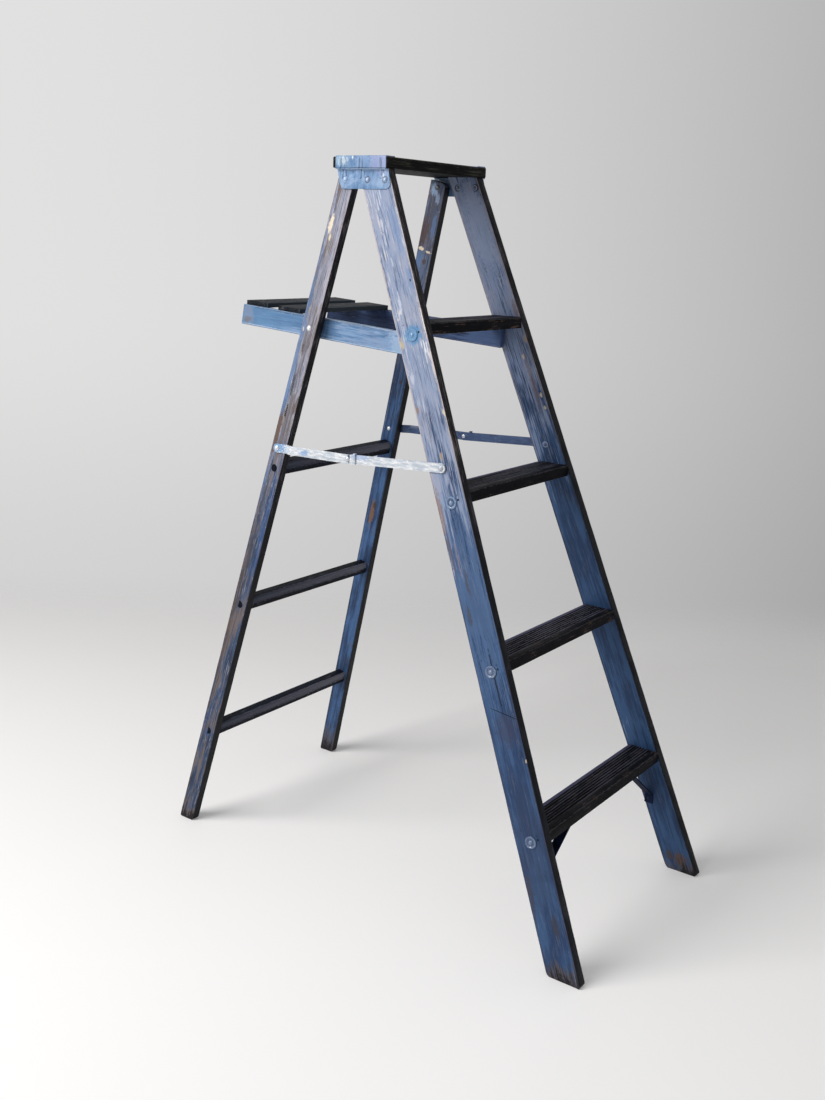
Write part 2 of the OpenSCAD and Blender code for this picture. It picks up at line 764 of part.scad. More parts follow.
module rear_bar() {
    color(bar_white) difference() {
        translate([0, rear_pivot[0], rear_pivot[1]]) rotate([rear_bar_angle, 0, 0]) {
            intersection() {
                translate([0, 0, -bar_w / 2]) linear_extrude(bar_w) rear_bar_plan();
                translate([-far_x, 0, 0]) rotate([90, 0, 90]) linear_extrude(far_x) {
                    circle(d = bar_w);
                    translate([-rear_bar_reach - knee_tail, -bar_w / 2])
                        square([rear_bar_reach + knee_tail, bar_w]);
                }
            }
            stop_lug();
        }
        cross_bar(rear_pivot[0], rear_pivot[1], bar_rivet_d + 2 * turn_gap, far_x);
        cross_bar(knee[0], knee[1], bar_rivet_d, far_x);
    }
}

// Lug bent in from the rear bar's upper edge, over the front bar's upper edge
module stop_lug() {
    lift = bar_w / 2 / cos(knee_bend) + knee_tail * tan(knee_bend) + slide_gap;
    reach = rear_bar_x + bar_t - front_bar_x;
    translate([-rear_bar_x - bar_t, -rear_bar_reach - knee_tail, 0]) {
        cube([bar_t, lug_len, lift + bar_t * 0.8]);
        translate([0, 0, lift]) cube([reach, lug_len, bar_t * 0.8]);
    }
}

// Outer half of the knee rivet, carried by the rear bar
module knee_rivet() {
    color(rivet_grey) translate([-rear_bar_x, knee[0], knee[1]]) rotate([0, -90, 0]) {
        cylinder(d = bar_rivet_d, h = bar_t);
        translate([0, 0, bar_t]) dome(bar_rivet_d * head_share / 2, head_h);
    }
}

// Inner half of the knee rivet, carried by the front bar
module knee_burr() {
    color(rivet_grey) translate([-front_bar_x - bar_t, knee[0], knee[1]]) rotate([0, 90, 0]) {
        cylinder(d = bar_rivet_d, h = bar_t);
        translate([0, 0, bar_t]) dome(bar_rivet_d * tail_share / 2, tail_h);
    }
}

// ---- Pail shelf ----

// Frame of the shelf: origin midway between its pivots, +Y to the back along the tilted arms
module in_shelf() {
    translate([0, shelf_y, shelf_pivot_z]) rotate([shelf_tilt, 0, 0]) children();
}

module shelf_arm() {
    color(rail_blue) difference() {
        in_shelf() translate([-arm_out_x(0), 0, 0]) rotate([0, 0, -arm_turn])
            translate([0, -arm_front_len, -arm_h / 2])
                cube([arm_t, arm_front_len + arm_rear_len, arm_h]);
        cross_bar(shelf_y, shelf_pivot_z, shelf_bolt_d + 2 * turn_gap, far_x);
        in_shelf() slat_nail_pair(slat_rear_y);
        in_shelf() slat_nail_pair(slat_front_y);
    }
}

// Nails at the left end of a slat, through it into the arm
module slat_nail_pair(from_y) {
    for (share = [0.25, 0.75]) {
        y = from_y + share * slat_w;
        translate([arm_t / 2 - arm_out_x(y), y, arm_h / 2 + slat_t - nail_len / 2])
            cylinder(d = nail_d, h = nail_len / 2);
    }
}

module shelf_slat(from_y) {
    half = arm_out_x(from_y + slat_w) - slat_side_set;
    color(step_black) in_shelf() difference() {
        translate([-half, from_y, arm_h / 2]) cube([2 * half, slat_w, slat_t]);
        both_sides() slat_nail_pair(from_y);
    }
}

module slat_nails() {
    color(rivet_grey) in_shelf() both_sides() {
        slat_nail_pair(slat_rear_y);
        slat_nail_pair(slat_front_y);
    }
}

// Bolts fixed in the legs, on which the arms turn
module shelf_pivot_bolts() {
    out_x = leg_out_x(shelf_pivot_z);
    in_x = arm_out_x(0) - arm_t / cos(arm_turn) - arm_side_gap;
    color(rivet_grey) both_sides()
        rivet(shelf_y, shelf_pivot_z, shelf_bolt_d, out_x, in_x, rear_flare, 0,
            shelf_bolt_d * tail_share / 2);
}

// Tubes on the bolts that hold the arms off the legs
module shelf_pivot_spacers() {
    half = arm_out_x(0) + arm_side_gap;
    color(rivet_grey) intersection() {
        difference() {
            cross_bar(shelf_y, shelf_pivot_z, 2 * shelf_bolt_d, far_x);
            cross_bar(shelf_y, shelf_pivot_z, shelf_bolt_d, far_x + past);
            cross_bar(shelf_y, shelf_pivot_z, 3 * shelf_bolt_d, half);
        }
        space_between(rear_floor_w / 2, rear_flare, leg_t);
    }
}

// ---- Nodes ----

side_rail();  // left_side_rail
mirror([1, 0, 0]) side_rail();  // right_side_rail
step(1);  // step_1
step(2);  // step_2
step(3);  // step_3
step(4);  // step_4
truss_rod(1);  // truss_rod_1
truss_rod(2);  // truss_rod_2
truss_rod(3);  // truss_rod_3
truss_rod(4);  // truss_rod_4
truss_rod_washers();
step_nails();
step_brace();  // left_step_brace
mirror([1, 0, 0]) step_brace();  // right_step_brace
brace_screws();
top_cap();
cap_bracket();  // left_cap_bracket
mirror([1, 0, 0]) cap_bracket();  // right_cap_bracket
bracket_rivets();
rivet_washers();
cap_nails();
hinge_rivets();
spreader_front_rivets();
rear_leg();  // left_rear_leg
mirror([1, 0, 0]) rear_leg();  // right_rear_leg
rear_rung(1);  // rear_rung_1
rear_rung(2);  // rear_rung_2
rear_rung(3);  // rear_rung_3
spreader_rear_rivets();
shelf_pivot_bolts();
shelf_pivot_spacers();
front_bar();  // left_spreader_front_bar
mirror([1, 0, 0]) front_bar();  // right_spreader_front_bar
rear_bar();  // left_spreader_rear_bar
mirror([1, 0, 0]) rear_bar();  // right_spreader_rear_bar
knee_rivet();  // left_knee_rivet
mirror([1, 0, 0]) knee_rivet();  // right_knee_rivet
knee_burr();  // left_knee_burr
mirror([1, 0, 0]) knee_burr();  // right_knee_burr
shelf_arm();  // left_shelf_arm
mirror([1, 0, 0]) shelf_arm();  // right_shelf_arm
shelf_slat(slat_rear_y);  // shelf_slat_rear
shelf_slat(slat_front_y);  // shelf_slat_front
slat_nails();
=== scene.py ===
"""Wooden folding stepladder in worn blue paint, with its pail shelf down.

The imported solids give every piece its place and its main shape. This script eases and wears their
edges, adds the pressed and worn detail, and paints each piece.
"""
import logging
import math
from dataclasses import dataclass, field, replace
from enum import Enum
from typing import Any, Callable, Dict, Sequence, Tuple

import bmesh
import bpy
from mathutils import Matrix, Vector, noise


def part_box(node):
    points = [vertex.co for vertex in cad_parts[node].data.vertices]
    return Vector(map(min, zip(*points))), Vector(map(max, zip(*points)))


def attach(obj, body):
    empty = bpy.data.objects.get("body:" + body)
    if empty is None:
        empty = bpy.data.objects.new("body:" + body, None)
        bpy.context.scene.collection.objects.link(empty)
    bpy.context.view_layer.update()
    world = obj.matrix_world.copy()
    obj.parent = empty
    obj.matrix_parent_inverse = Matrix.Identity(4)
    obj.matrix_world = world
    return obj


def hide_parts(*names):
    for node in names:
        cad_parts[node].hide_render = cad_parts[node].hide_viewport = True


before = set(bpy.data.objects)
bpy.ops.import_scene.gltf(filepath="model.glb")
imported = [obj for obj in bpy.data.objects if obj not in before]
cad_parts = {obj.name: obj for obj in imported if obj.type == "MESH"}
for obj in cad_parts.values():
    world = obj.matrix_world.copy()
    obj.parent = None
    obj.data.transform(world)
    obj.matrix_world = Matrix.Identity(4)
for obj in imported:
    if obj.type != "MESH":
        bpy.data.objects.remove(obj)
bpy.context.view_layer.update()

LOG = logging.getLogger("stepladder")
MM = 0.001
MERGE_WITHIN = 2e-6
FLAT_WITHIN = math.radians(0.4)
ON_FLOOR = 1e-4


class Side(Enum):
    """Which side of the ladder a piece is on, as the sign of its X."""

    LEFT = -1
    RIGHT = 1


# ---------------------------------------------------------------- nodes and colours


def linear(code: str) -> Tuple[float, float, float, float]:
    """Turns an sRGB hex colour into linear light.

    Args:
        code: six hex digits, such as "33507c".

    Returns:
        Red, green, blue and an alpha of 1.
    """
    parts = [int(code[i:i + 2], 16) / 255 for i in (0, 2, 4)]
    values = [c / 12.92 if c <= 0.04045 else ((c + 0.055) / 1.055) ** 2.4 for c in parts]
    return (values[0], values[1], values[2], 1.0)


def add(tree: bpy.types.NodeTree, kind: str, settings: Dict[str, Any],
        inputs: Dict[Any, Any], output: Any = 0) -> Any:
    """Adds a node with its settings, values and links.

    Args:
        tree: the node tree.
        kind: the node's type without "ShaderNode".
        settings: attributes to set on the node.
        inputs: input name or index to a value, or to the socket that feeds it.
        output: name or index of the output to return.

    Returns:
        The chosen output socket, or the node itself where it has none.
    """
    node = tree.nodes.new("ShaderNode" + kind)
    for name, value in settings.items():
        setattr(node, name, value)
    for name, value in inputs.items():
        if isinstance(value, bpy.types.NodeSocket):
            tree.links.new(value, node.inputs[name])
        else:
            node.inputs[name].default_value = linear(value) if isinstance(value, str) else value
    return node.outputs[output] if len(node.outputs) else node


def blank(name: str) -> Tuple[bpy.types.Material, bpy.types.NodeTree]:
    """Makes a material with nothing in it.

    Args:
        name: the material's name.

    Returns:
        The material and its empty node tree.
    """
    material = bpy.data.materials.new(name)
    material.use_nodes = True
    material.node_tree.nodes.clear()
    return material, material.node_tree


def lay(tree: bpy.types.NodeTree, under: Any, over: Any, pattern: Any, low: float,
        high: float, amount: Any = 1.0) -> Any:
    """Lays one coat over another where a pattern goes from low to high.

    Args:
        tree: the node tree.
        under: the coat below, a socket or a hex colour.
        over: the coat on top, a socket or a hex colour.
        pattern: the pattern that says where it lies.
        low: the pattern's value where the top coat starts; it may be above high.
        high: the pattern's value where the top coat is whole.
        amount: how much the whole coat covers, a number or a socket.

    Returns:
        The colour socket.
    """
    share = add(tree, "MapRange", {"interpolation_type": "SMOOTHSTEP"}, {
        "Value": pattern, "From Min": low, "From Max": high, "To Max": amount}, "Result")
    return add(tree, "Mix", {"data_type": "RGBA"}, {0: share, 6: under, 7: over}, 2)


@dataclass(frozen=True)
class Grain:
    """Where a board's own axes lie: x through it, y across it, z along the grain."""

    origin: Tuple[float, float, float]
    across: Tuple[float, float, float]
    along: Tuple[float, float, float]

    def mapping(self) -> Dict[str, Any]:
        """Works out the Mapping node's values that give the board's own place in metres.

        Returns:
            The node's Location and Rotation.
        """
        z = Vector(self.along).normalized()
        y = Vector(self.across)
        y = (y - z * y.dot(z)).normalized()
        turn = Matrix((y.cross(z), y, z))
        return {"Location": -(turn @ Vector(self.origin)), "Rotation": turn.to_euler("XYZ")}


@dataclass(frozen=True)
class Spot:
    """A chip, splash, stain or strip on a surface, in millimetres and degrees."""

    across: float
    along: float
    half_wide: float
    half_long: float
    colour: str
    amount: float = 0.8
    ragged: float = 0.6
    streaky: float = 0.35
    turn: float = 0.0


@dataclass
class Surface:
    """A material in the making, with the patterns that every finish shares."""

    name: str
    grain: Grain
    seed: float
    material: bpy.types.Material = field(init=False)
    tree: bpy.types.NodeTree = field(init=False)
    place: Any = field(init=False)
    parts: Tuple[Any, ...] = field(init=False)

    def __post_init__(self) -> None:
        """Makes the material and the surface's own coordinates."""
        self.material, self.tree = blank(self.name)
        self.place = add(self.tree, "Mapping", {}, {
            "Vector": add(self.tree, "TexCoord", {}, {}, "Object"), **self.grain.mapping()})
        self.parts = tuple(add(self.tree, "SeparateXYZ", {}, {0: self.place}).node.outputs)

    def drawn_out(self, wide: float, long: float, shift: float, detail: float = 4.0) -> Any:
        """Adds a noise that is drawn out along the grain.

        Args:
            wide: a patch's size across the grain, in millimetres.
            long: its size along the grain.
            shift: moves the pattern, so that no two are alike.
            detail: octaves of detail.

        Returns:
            The noise, around 0.5.
        """
        move = self.seed * 3.7 + shift
        at = add(self.tree, "VectorMath", {"operation": "MULTIPLY_ADD"}, {
            0: self.place, 1: (1 / (wide * MM), 1 / (wide * MM), 1 / (long * MM)),
            2: (move, move * 1.3, move * 0.7)})
        return add(self.tree, "TexNoise", {}, {
            "Vector": at, "Scale": 1.0, "Detail": detail, "Roughness": 0.62}, "Fac")

    def sway(self, base: Any, pattern: Any, reach: float) -> Any:
        """Adds a pattern's swing about 0.5, times reach, to a value.

        Args:
            base: the value that is moved.
            pattern: a noise around 0.5.
            reach: how far the whole noise moves it.

        Returns:
            The moved value.
        """
        least = add(self.tree, "Math", {"operation": "MULTIPLY_ADD"}, {
            0: pattern, 1: reach, 2: -reach / 2})
        return add(self.tree, "Math", {"operation": "ADD"}, {0: least, 1: base})

    def spot(self, colour: Any, spot: Spot, rough: Any, fine: Any) -> Any:
        """Lays a spot over a colour.

        Args:
            colour: the colour below.
            spot: the spot.
            rough: the noise that makes its outline ragged.
            fine: the grain that breaks it up.

        Returns:
            The colour socket.
        """
        off = add(self.tree, "Mapping", {"vector_type": "TEXTURE"}, {
            "Vector": self.place, "Location": (0.0, spot.across * MM, spot.along * MM),
            "Rotation": (math.radians(spot.turn), 0.0, 0.0),
            "Scale": (100.0, spot.half_wide * MM, spot.half_long * MM)})
        far = add(self.tree, "VectorMath", {"operation": "LENGTH"}, {0: off}, "Value")
        far = self.sway(far, rough, spot.ragged * 4)
        if spot.streaky:
            far = self.sway(far, fine, spot.streaky * 6)
        return lay(self.tree, colour, spot.colour, far, 1.15, 0.8, spot.amount)

    def done(self, colour: Any, roughness: Tuple[float, float], rough: Any, height: Any,
             bump: float, depth: float, gloss: float = 0.5, metallic: float = 0.0
             ) -> bpy.types.Material:
        """Joins the colour, the gloss and the relief, and returns the material.

        Args:
            colour: the finished colour.
            roughness: the smoothest and the roughest value.
            rough: the noise between them.
            height: the relief.
            bump: the relief's strength.
            depth: the relief's depth in millimetres.
            gloss: the specular level, 0.5 for new enamel and less for a dusty coat.
            metallic: 0 for paint, near 1 for bare metal.

        Returns:
            The material.
        """
        shine = add(self.tree, "MapRange", {}, {
            "Value": rough, "From Min": 0.3, "From Max": 0.7, "To Min": roughness[0],
            "To Max": roughness[1]}, "Result")
        relief = add(self.tree, "Bump", {}, {
            "Strength": bump, "Distance": depth * MM, "Height": height}, "Normal")
        shader = add(self.tree, "BsdfPrincipled", {}, {
            "Base Color": colour, "Roughness": shine, "Normal": relief,
            "Specular IOR Level": gloss, "Metallic": metallic})
        add(self.tree, "OutputMaterial", {}, {"Surface": shader})
        return self.material


# ---------------------------------------------------------------- finishes


@dataclass(frozen=True)
class BrushedPaint:
    """Old brushed enamel on softwood: sunk into the grain, scratched, and worn off its corners.

    The coat turns pale higher up, partly as chalk and partly as painted light from the lamp
    above. The grain shows as fine dark and light lines, the wear as scratches, as bare
    grey-brown wood and as pale corners. The board's narrow front face, which no lamp lights, is
    painted dark as shade, paler higher up. Widths and bands are in millimetres, and low and high
    are the heights in metres between which the coat turns.
    """

    name: str
    deep: str
    mid: str
    scratch: str
    pale: str = "8d9ab5"
    warm: str = ""
    line: str = ""
    wood: str = "8a7a70"
    wood_dark: str = "2a2524"
    edge: str = "8d8590"
    edge_high: str = "b9b7c4"
    front: str = "17171d"
    front_shade_high: str = "17171d"
    width: float = 68.0
    low: float = 0.5
    high: float = 1.3
    paling: float = 0.9
    lines: float = 0.6
    scratches: float = 0.5
    calm: float = 1.0
    chips: float = 0.3
    bare: float = 0.0
    rim: float = 0.6
    rim_wide: float = 8.0
    chip_band: float = 12.0
    corner_band: Tuple[float, float] = (3.6, 2.6)
    face_band: Tuple[float, float] = (1.7, 0.9)
    foot: float = 0.0
    roughness: Tuple[float, float] = (0.40, 0.60)
    gloss: float = 0.15
    bump: float = 0.35
    seed: float = 0.0
    shaded_front: bool = True
    spots: Tuple[Spot, ...] = ()

    def make(self, grain: Grain) -> bpy.types.Material:
        """Builds the material for a board.

        Args:
            grain: where the board's own axes lie.

        Returns:
            The material.
        """
        s = Surface(self.name, grain, self.seed)
        tree, (_, across, along) = s.tree, s.parts
        # Growth rings 1 to 2 mm apart, drawn at 2.6 and 8 mm so that they show from afar
        fine = s.drawn_out(2.6, 75, 1.0)
        hair = s.drawn_out(1.9, 38, 6.0)
        wide = s.drawn_out(8, 210, 2.0)
        patch = s.drawn_out(34, 105, 3.0)
        other = s.drawn_out(22, 70, 9.0)
        rough = s.drawn_out(3.6, 8, 4.0)
        # The coat, deep in some strokes, and paler higher up: partly chalk, partly painted light
        # from the lamp above
        colour = lay(tree, self.deep, self.mid, s.sway(wide, patch, 1.1), 0.36, 0.64)
        fade = add(tree, "MapRange", {}, {"Value": along, "From Min": self.low,
                                          "From Max": self.high}, "Result")
        paling = s.sway(s.sway(s.sway(fade, patch, 1.5), wide, 1.3), fine, 1.1)
        pale = lay(tree, self.pale, self.warm or self.pale, s.sway(other, fine, 0.6), 0.44, 0.64)
        colour = lay(tree, colour, pale, paling, 0.34, 0.76, self.paling)
        # Dark grain lines, light scratches and chips, fewer low down where the coat is whole
        dark, light, chipped = (add(tree, "MapRange", {}, {
            "Value": fade, "To Min": most * self.calm, "To Max": most}, "Result")
            for most in (self.lines, self.scratches, self.chips))
        colour = lay(tree, colour, self.line or self.deep, s.sway(fine, other, 0.5), 0.47, 0.36,
                     dark)
        colour = lay(tree, colour, self.scratch, s.sway(hair, patch, -0.5), 0.58, 0.68, light)
        colour = lay(tree, colour, self.line or self.deep, s.sway(hair, wide, 0.5), 0.38, 0.30,
                     dark)
        rim = add(tree, "Math", {"operation": "PINGPONG"}, {0: across, 1: self.width * MM / 2})
        beside = add(tree, "MapRange", {}, {
            "Value": rim, "From Max": self.chip_band * MM, "To Min": 1.0, "To Max": 0.0}, "Result")
        chip = s.sway(s.sway(s.sway(rough, other, 0.6), beside, 0.20), hair, 0.3)
        colour = lay(tree, colour, self.scratch, chip, 0.67, 0.72, chipped)
        # Worn corners along the board
        soft = s.sway(s.sway(rim, rough, self.rim_wide * 2.4 * MM), fine,
                      self.rim_wide * 2.6 * MM)
        worn_edge = lay(tree, self.edge, self.edge_high, fade, 0.2, 0.8)
        colour = lay(tree, colour, worn_edge, soft, self.rim_wide * MM, self.rim_wide * 0.3 * MM,
                     self.rim)
        corner = s.sway(s.sway(across, rough, 4 * MM), fine, 4 * MM)
        colour = lay(tree, colour, worn_edge, corner, self.corner_band[0] * MM,
                     self.corner_band[1] * MM, self.rim)
        # Bare wood, streaked along the grain
        wood = lay(tree, self.wood, self.wood_dark, s.sway(fine, hair, 0.5), 0.52, 0.38, 0.85)
        if self.bare > 0:
            bare = s.sway(s.sway(wide, patch, 0.9), fine, 0.5)
            colour = lay(tree, colour, wood, bare, 0.80 - self.bare * 0.5,
                         0.86 - self.bare * 0.5, 0.9)
        for spot in self.spots:
            colour = s.spot(colour, spot, rough, fine)
        if self.foot > 0:
            low = s.sway(s.sway(s.sway(along, other, 0.12), rough, 0.07), fine, 0.05)
            colour = lay(tree, colour, wood, low, self.foot * MM, self.foot * 0.35 * MM, 0.8)
            colour = lay(tree, colour, "0e0e11", low, self.foot * 0.55 * MM, 0.0, 0.9)
        # The narrow front face, which no lamp lights, is painted dark as shade, paler higher up
        if self.shaded_front:
            front = lay(tree, self.front, self.front_shade_high, fade, 0.3, 1.0)
            front = lay(tree, front, worn_edge, s.sway(hair, other, 0.6), 0.56, 0.66, 0.35)
            colour = lay(tree, colour, front, across, self.face_band[0] * MM,
                         self.face_band[1] * MM)
        height = s.sway(fine, rough, 0.4)
        return s.done(colour, self.roughness, rough, height, self.bump, 0.8, self.gloss)


@dataclass(frozen=True)
class TreadPaint(BrushedPaint):
    """Black enamel on a grooved step, its ridges grey from wear and from a painted highlight,
    and blue at its back edge.

    The bands are in millimetres from the front edge, or down from the top of the ridges.
    """

    ridge: str = "34343c"
    back: str = "3d3d52"
    step_t: float = 22.8
    front_band: float = 17.0
    back_band: Tuple[float, float] = (58.0, 65.0)
    ridge_band: Tuple[float, float] = (0.9, 0.3)
    nose_band: Tuple[float, float] = (3.0, 0.8)

    def make(self, grain: Grain) -> bpy.types.Material:
        """Builds the material for a step or the cap.

        Args:
            grain: where the step's own axes lie.

        Returns:
            The material.
        """
        s = Surface(self.name, grain, self.seed)
        tree, (through, across, _) = s.tree, s.parts
        fine, wide = s.drawn_out(2.4, 55, 1.0), s.drawn_out(9, 120, 2.0)
        patch, rough = s.drawn_out(34, 90, 3.0), s.drawn_out(3.2, 9, 4.0)
        up = add(tree, "Math", {"operation": "MULTIPLY"}, {0: through, 1: -1.0})
        colour = lay(tree, self.deep, self.mid, s.sway(wide, patch, 0.8), 0.35, 0.7)
        colour = lay(tree, colour, self.scratch, s.sway(fine, patch, 0.7), 0.56, 0.68,
                     self.scratches)
        colour = lay(tree, colour, self.wood, s.sway(s.sway(fine, rough, 0.6), patch, 1.0),
                     0.66, 0.73, self.chips)
        # Only the very tops of the ridges are made lighter: partly worn, partly a painted highlight
        worn = lay(tree, colour, self.ridge, s.sway(wide, rough, 0.8), 0.34, 0.60, 0.9)
        worn = lay(tree, worn, self.back, s.sway(across, rough, 0.008),
                   self.back_band[0] * MM, self.back_band[1] * MM, 0.8)
        top = lay(tree, colour, worn, up, (self.step_t - self.ridge_band[0]) * MM,
                  (self.step_t - self.ridge_band[1]) * MM)
        colour = lay(tree, colour, top, across, self.front_band * MM * 0.7,
                     self.front_band * MM)
        down = add(tree, "Math", {"operation": "SUBTRACT"}, {0: self.step_t * MM, 1: up})
        nose = s.sway(s.sway(add(tree, "Math", {"operation": "MAXIMUM"}, {0: down, 1: across}),
                             rough, 7 * MM), fine, 6 * MM)
        colour = lay(tree, colour, self.edge, nose, self.nose_band[0] * MM,
                     self.nose_band[1] * MM, self.rim)
        for spot in self.spots:
            colour = s.spot(colour, spot, rough, fine)
        return s.done(colour, self.roughness, rough, s.sway(fine, rough, 0.4), self.bump, 0.6,
                      self.gloss)


@dataclass(frozen=True)
class PaintedSteel:
    """Brushed enamel on sheet or rod steel: smooth and glossy, with chips, runs and grime, and
    spots that may be painted shade and highlights.
    """

    name: str
    coat: str
    light: str
    chip: str
    chips: float = 0.3
    roughness: Tuple[float, float] = (0.22, 0.42)
    gloss: float = 0.4
    bump: float = 0.25
    metallic: float = 0.0
    wide: float = 11.0
    long: float = 22.0
    seed: float = 0.0
    low_coat: str = ""
    low: float = 0.3
    high: float = 1.2
    inner: str = ""
    inner_at: float = 0.156
    inner_fade: float = 0.002
    right: str = ""
    right_fade: float = 0.01
    grain: Grain = Grain((0.0, 0.0, 0.0), (0.0, 1.0, 0.0), (0.0, 0.0, 1.0))
    spots: Tuple[Spot, ...] = ()

    def make(self) -> bpy.types.Material:
        """Builds the material.

        Returns:
            The material.
        """
        s = Surface(self.name, self.grain, self.seed)
        tree = s.tree
        soft = s.drawn_out(self.wide, self.long, 1.0)
        fine = s.drawn_out(self.wide / 4, self.long / 4, 2.0, 5.0)
        rough = s.drawn_out(3.0, 5.0, 3.0)
        colour = lay(tree, self.coat, self.light, soft, 0.36, 0.64)
        if self.low_coat:
            colour = lay(tree, self.low_coat, colour, s.parts[2], self.low, self.high)
        colour = lay(tree, colour, self.chip, s.sway(fine, soft, 0.5),
                     0.74 - self.chips * 0.25, 0.78 - self.chips * 0.25)
        for spot in self.spots:
            colour = s.spot(colour, spot, rough, fine)
        x = add(tree, "SeparateXYZ", {}, {0: add(tree, "TexCoord", {}, {}, "Object")}, 0)
        if self.right:
            colour = lay(tree, colour, self.right, s.sway(x, fine, 0.02), -self.right_fade,
                         self.right_fade, 0.9)
        if self.inner:
            side = add(tree, "Math", {"operation": "ABSOLUTE"}, {0: x})
            colour = lay(tree, colour, self.inner, side, self.inner_at + self.inner_fade,
                         self.inner_at - self.inner_fade)
        return s.done(colour, self.roughness, rough, fine, self.bump, 0.3, self.gloss,
                      self.metallic)


# ---------------------------------------------------------------- shaping


@dataclass
class Easing:
    """How a copy of a solid gets its corners rounded and worn, in millimetres."""

    width: float = 1.2
    segments: int = 2
    shortest: float = 3.2
    sharp_degrees: float = 25.0
    wear: float = 0.0
    wear_pitch: float = 14.0
    wear_patch: float = 26.0
    wear_degrees: float = 8.0
    foot: float = 0.0
    foot_side: float = 0.0
    foot_least: float = 12.0
    seed: float = 0.0


class Piece:
    """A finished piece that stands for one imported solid."""

    def __init__(self, node: str, body: str, slot: str) -> None:
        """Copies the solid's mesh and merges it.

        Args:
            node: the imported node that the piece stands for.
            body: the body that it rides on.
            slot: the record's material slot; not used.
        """
        self.node, self.body, self.slot = node, body, slot
        self.mesh = bmesh.new()
        self.mesh.from_mesh(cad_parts[node].data)
        bmesh.ops.remove_doubles(self.mesh, verts=self.mesh.verts, dist=MERGE_WITHIN)
        bmesh.ops.dissolve_limit(self.mesh, angle_limit=FLAT_WITHIN,
                                 verts=self.mesh.verts, edges=self.mesh.edges)

    def split(self, where: Callable[[Vector], bool], cuts: int = 11,
              longest: float = 8.0) -> None:
        """Cuts the long edges that start in a region, so that it can be reshaped.

        Args:
            where: says whether a point is in the region.
            cuts: how many cuts each edge gets.
            longest: edges up to this many millimetres stay whole.
        """
        edges = [e for e in self.mesh.edges if e.calc_length() > longest * MM
                 and any(where(v.co) for v in e.verts)]
        bmesh.ops.subdivide_edges(self.mesh, edges=edges, cuts=cuts)

    def shift(self, rule: Callable[[Vector], Vector]) -> None:
        """Moves every vertex.

        Args:
            rule: gives a vertex's new place from its old one.
        """
        for vert in self.mesh.verts:
            vert.co = rule(vert.co)

    def sharp_edges(self, easing: Easing) -> list:
        """Finds the edges to round.

        Args:
            easing: says how long and how sharp an edge has to be.

        Returns:
            The edges.
        """
        least, turn = easing.shortest * MM, math.radians(easing.sharp_degrees)
        return [e for e in self.mesh.edges
                if len(e.link_faces) == 2 and e.calc_length() > least
                and e.calc_face_angle(0.0) > turn]

    def ease(self, easing: Easing) -> None:
        """Rounds the long edges, and the foot's edges more.

        Args:
            easing: how much is rounded.
        """
        edges = self.sharp_edges(easing)
        if easing.foot > 0:
            for offset, fore_and_aft in ((easing.foot, True), (easing.foot_side, False)):
                low = [e for e in self.sharp_edges(easing) if all(
                    v.co.z < ON_FLOOR for v in e.verts) and fore_and_aft == (
                        abs(e.verts[0].co.x - e.verts[1].co.x) > easing.foot_least * MM)]
                bmesh.ops.bevel(self.mesh, geom=low, offset=offset * MM, segments=3,
                                affect="EDGES", profile=0.5, material=-1, clamp_overlap=True)
            edges = [e for e in self.sharp_edges(easing)
                     if not all(v.co.z < easing.foot * MM for v in e.verts)]
        bmesh.ops.bevel(self.mesh, geom=edges, offset=easing.width * MM,
                        segments=easing.segments, affect="EDGES", profile=0.5, material=-1,
                        clamp_overlap=True)

    def wear(self, easing: Easing) -> None:
        """Cuts the long edges into short lengths and sinks them unevenly into the board.

        Args:
            easing: how deep the wear goes, and how it varies.
        """
        if easing.wear <= 0:
            return
        pitch = easing.wear_pitch * MM
        for cuts in (15, 7, 3, 1):
            longer = [e for e in self.mesh.edges if e.calc_length() > pitch * (cuts + 1)]
            if longer:
                bmesh.ops.subdivide_edges(self.mesh, edges=longer, cuts=cuts)
        self.mesh.normal_update()
        for vert in self.mesh.verts:
            turn = max((e.calc_face_angle(0.0) for e in vert.link_edges
                        if len(e.link_faces) == 2), default=0.0)
            if turn < math.radians(easing.wear_degrees):
                continue
            at = vert.co / (easing.wear_patch * MM) + Vector((easing.seed, 0, 0))
            depth = max(0.0, noise.noise(at) * 0.7 + noise.noise(at * 4.1) * 0.5 + 0.1)
            vert.co -= vert.normal * depth * easing.wear * MM

    def weather(self, easing: Easing) -> None:
        """Rounds the long edges, then wears them."""
        self.ease(easing)
        self.wear(easing)

    def finish(self, material: bpy.types.Material, smooth_degrees: float = 30.0) -> None:
        """Makes the object, replaces the solid and rides on its body.

        Args:
            material: the piece's material.
            smooth_degrees: faces that meet at less than this are shaded smooth.
        """
        bmesh.ops.triangulate(self.mesh, faces=[f for f in self.mesh.faces if len(f.verts) > 4])
        self.mesh.normal_update()
        for face in self.mesh.faces:
            face.smooth = True
        for edge in self.mesh.edges:
            edge.smooth = edge.calc_face_angle(0.0) < math.radians(smooth_degrees)
        data = bpy.data.meshes.new(self.node + "_worn")
        self.mesh.to_mesh(data)
        self.mesh.free()
        data.materials.append(material)
        piece = bpy.data.objects.new(self.node + "_worn", data)
        bpy.context.scene.collection.objects.link(piece)
        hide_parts(self.node)
        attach(piece, self.body)
        LOG.info("%s on %s, %d faces", piece.name, self.body, len(data.polygons))


def paint(names: Sequence[str], material: bpy.types.Material) -> None:
    """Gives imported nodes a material.

    Args:
        names: the nodes.
        material: what they get.
    """
    for name in names:
        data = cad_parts[name].data
        data.materials.clear()
        data.materials.append(material)
        LOG.info("%s painted %s", name, material.name)


# ---------------------------------------------------------------- the ladder


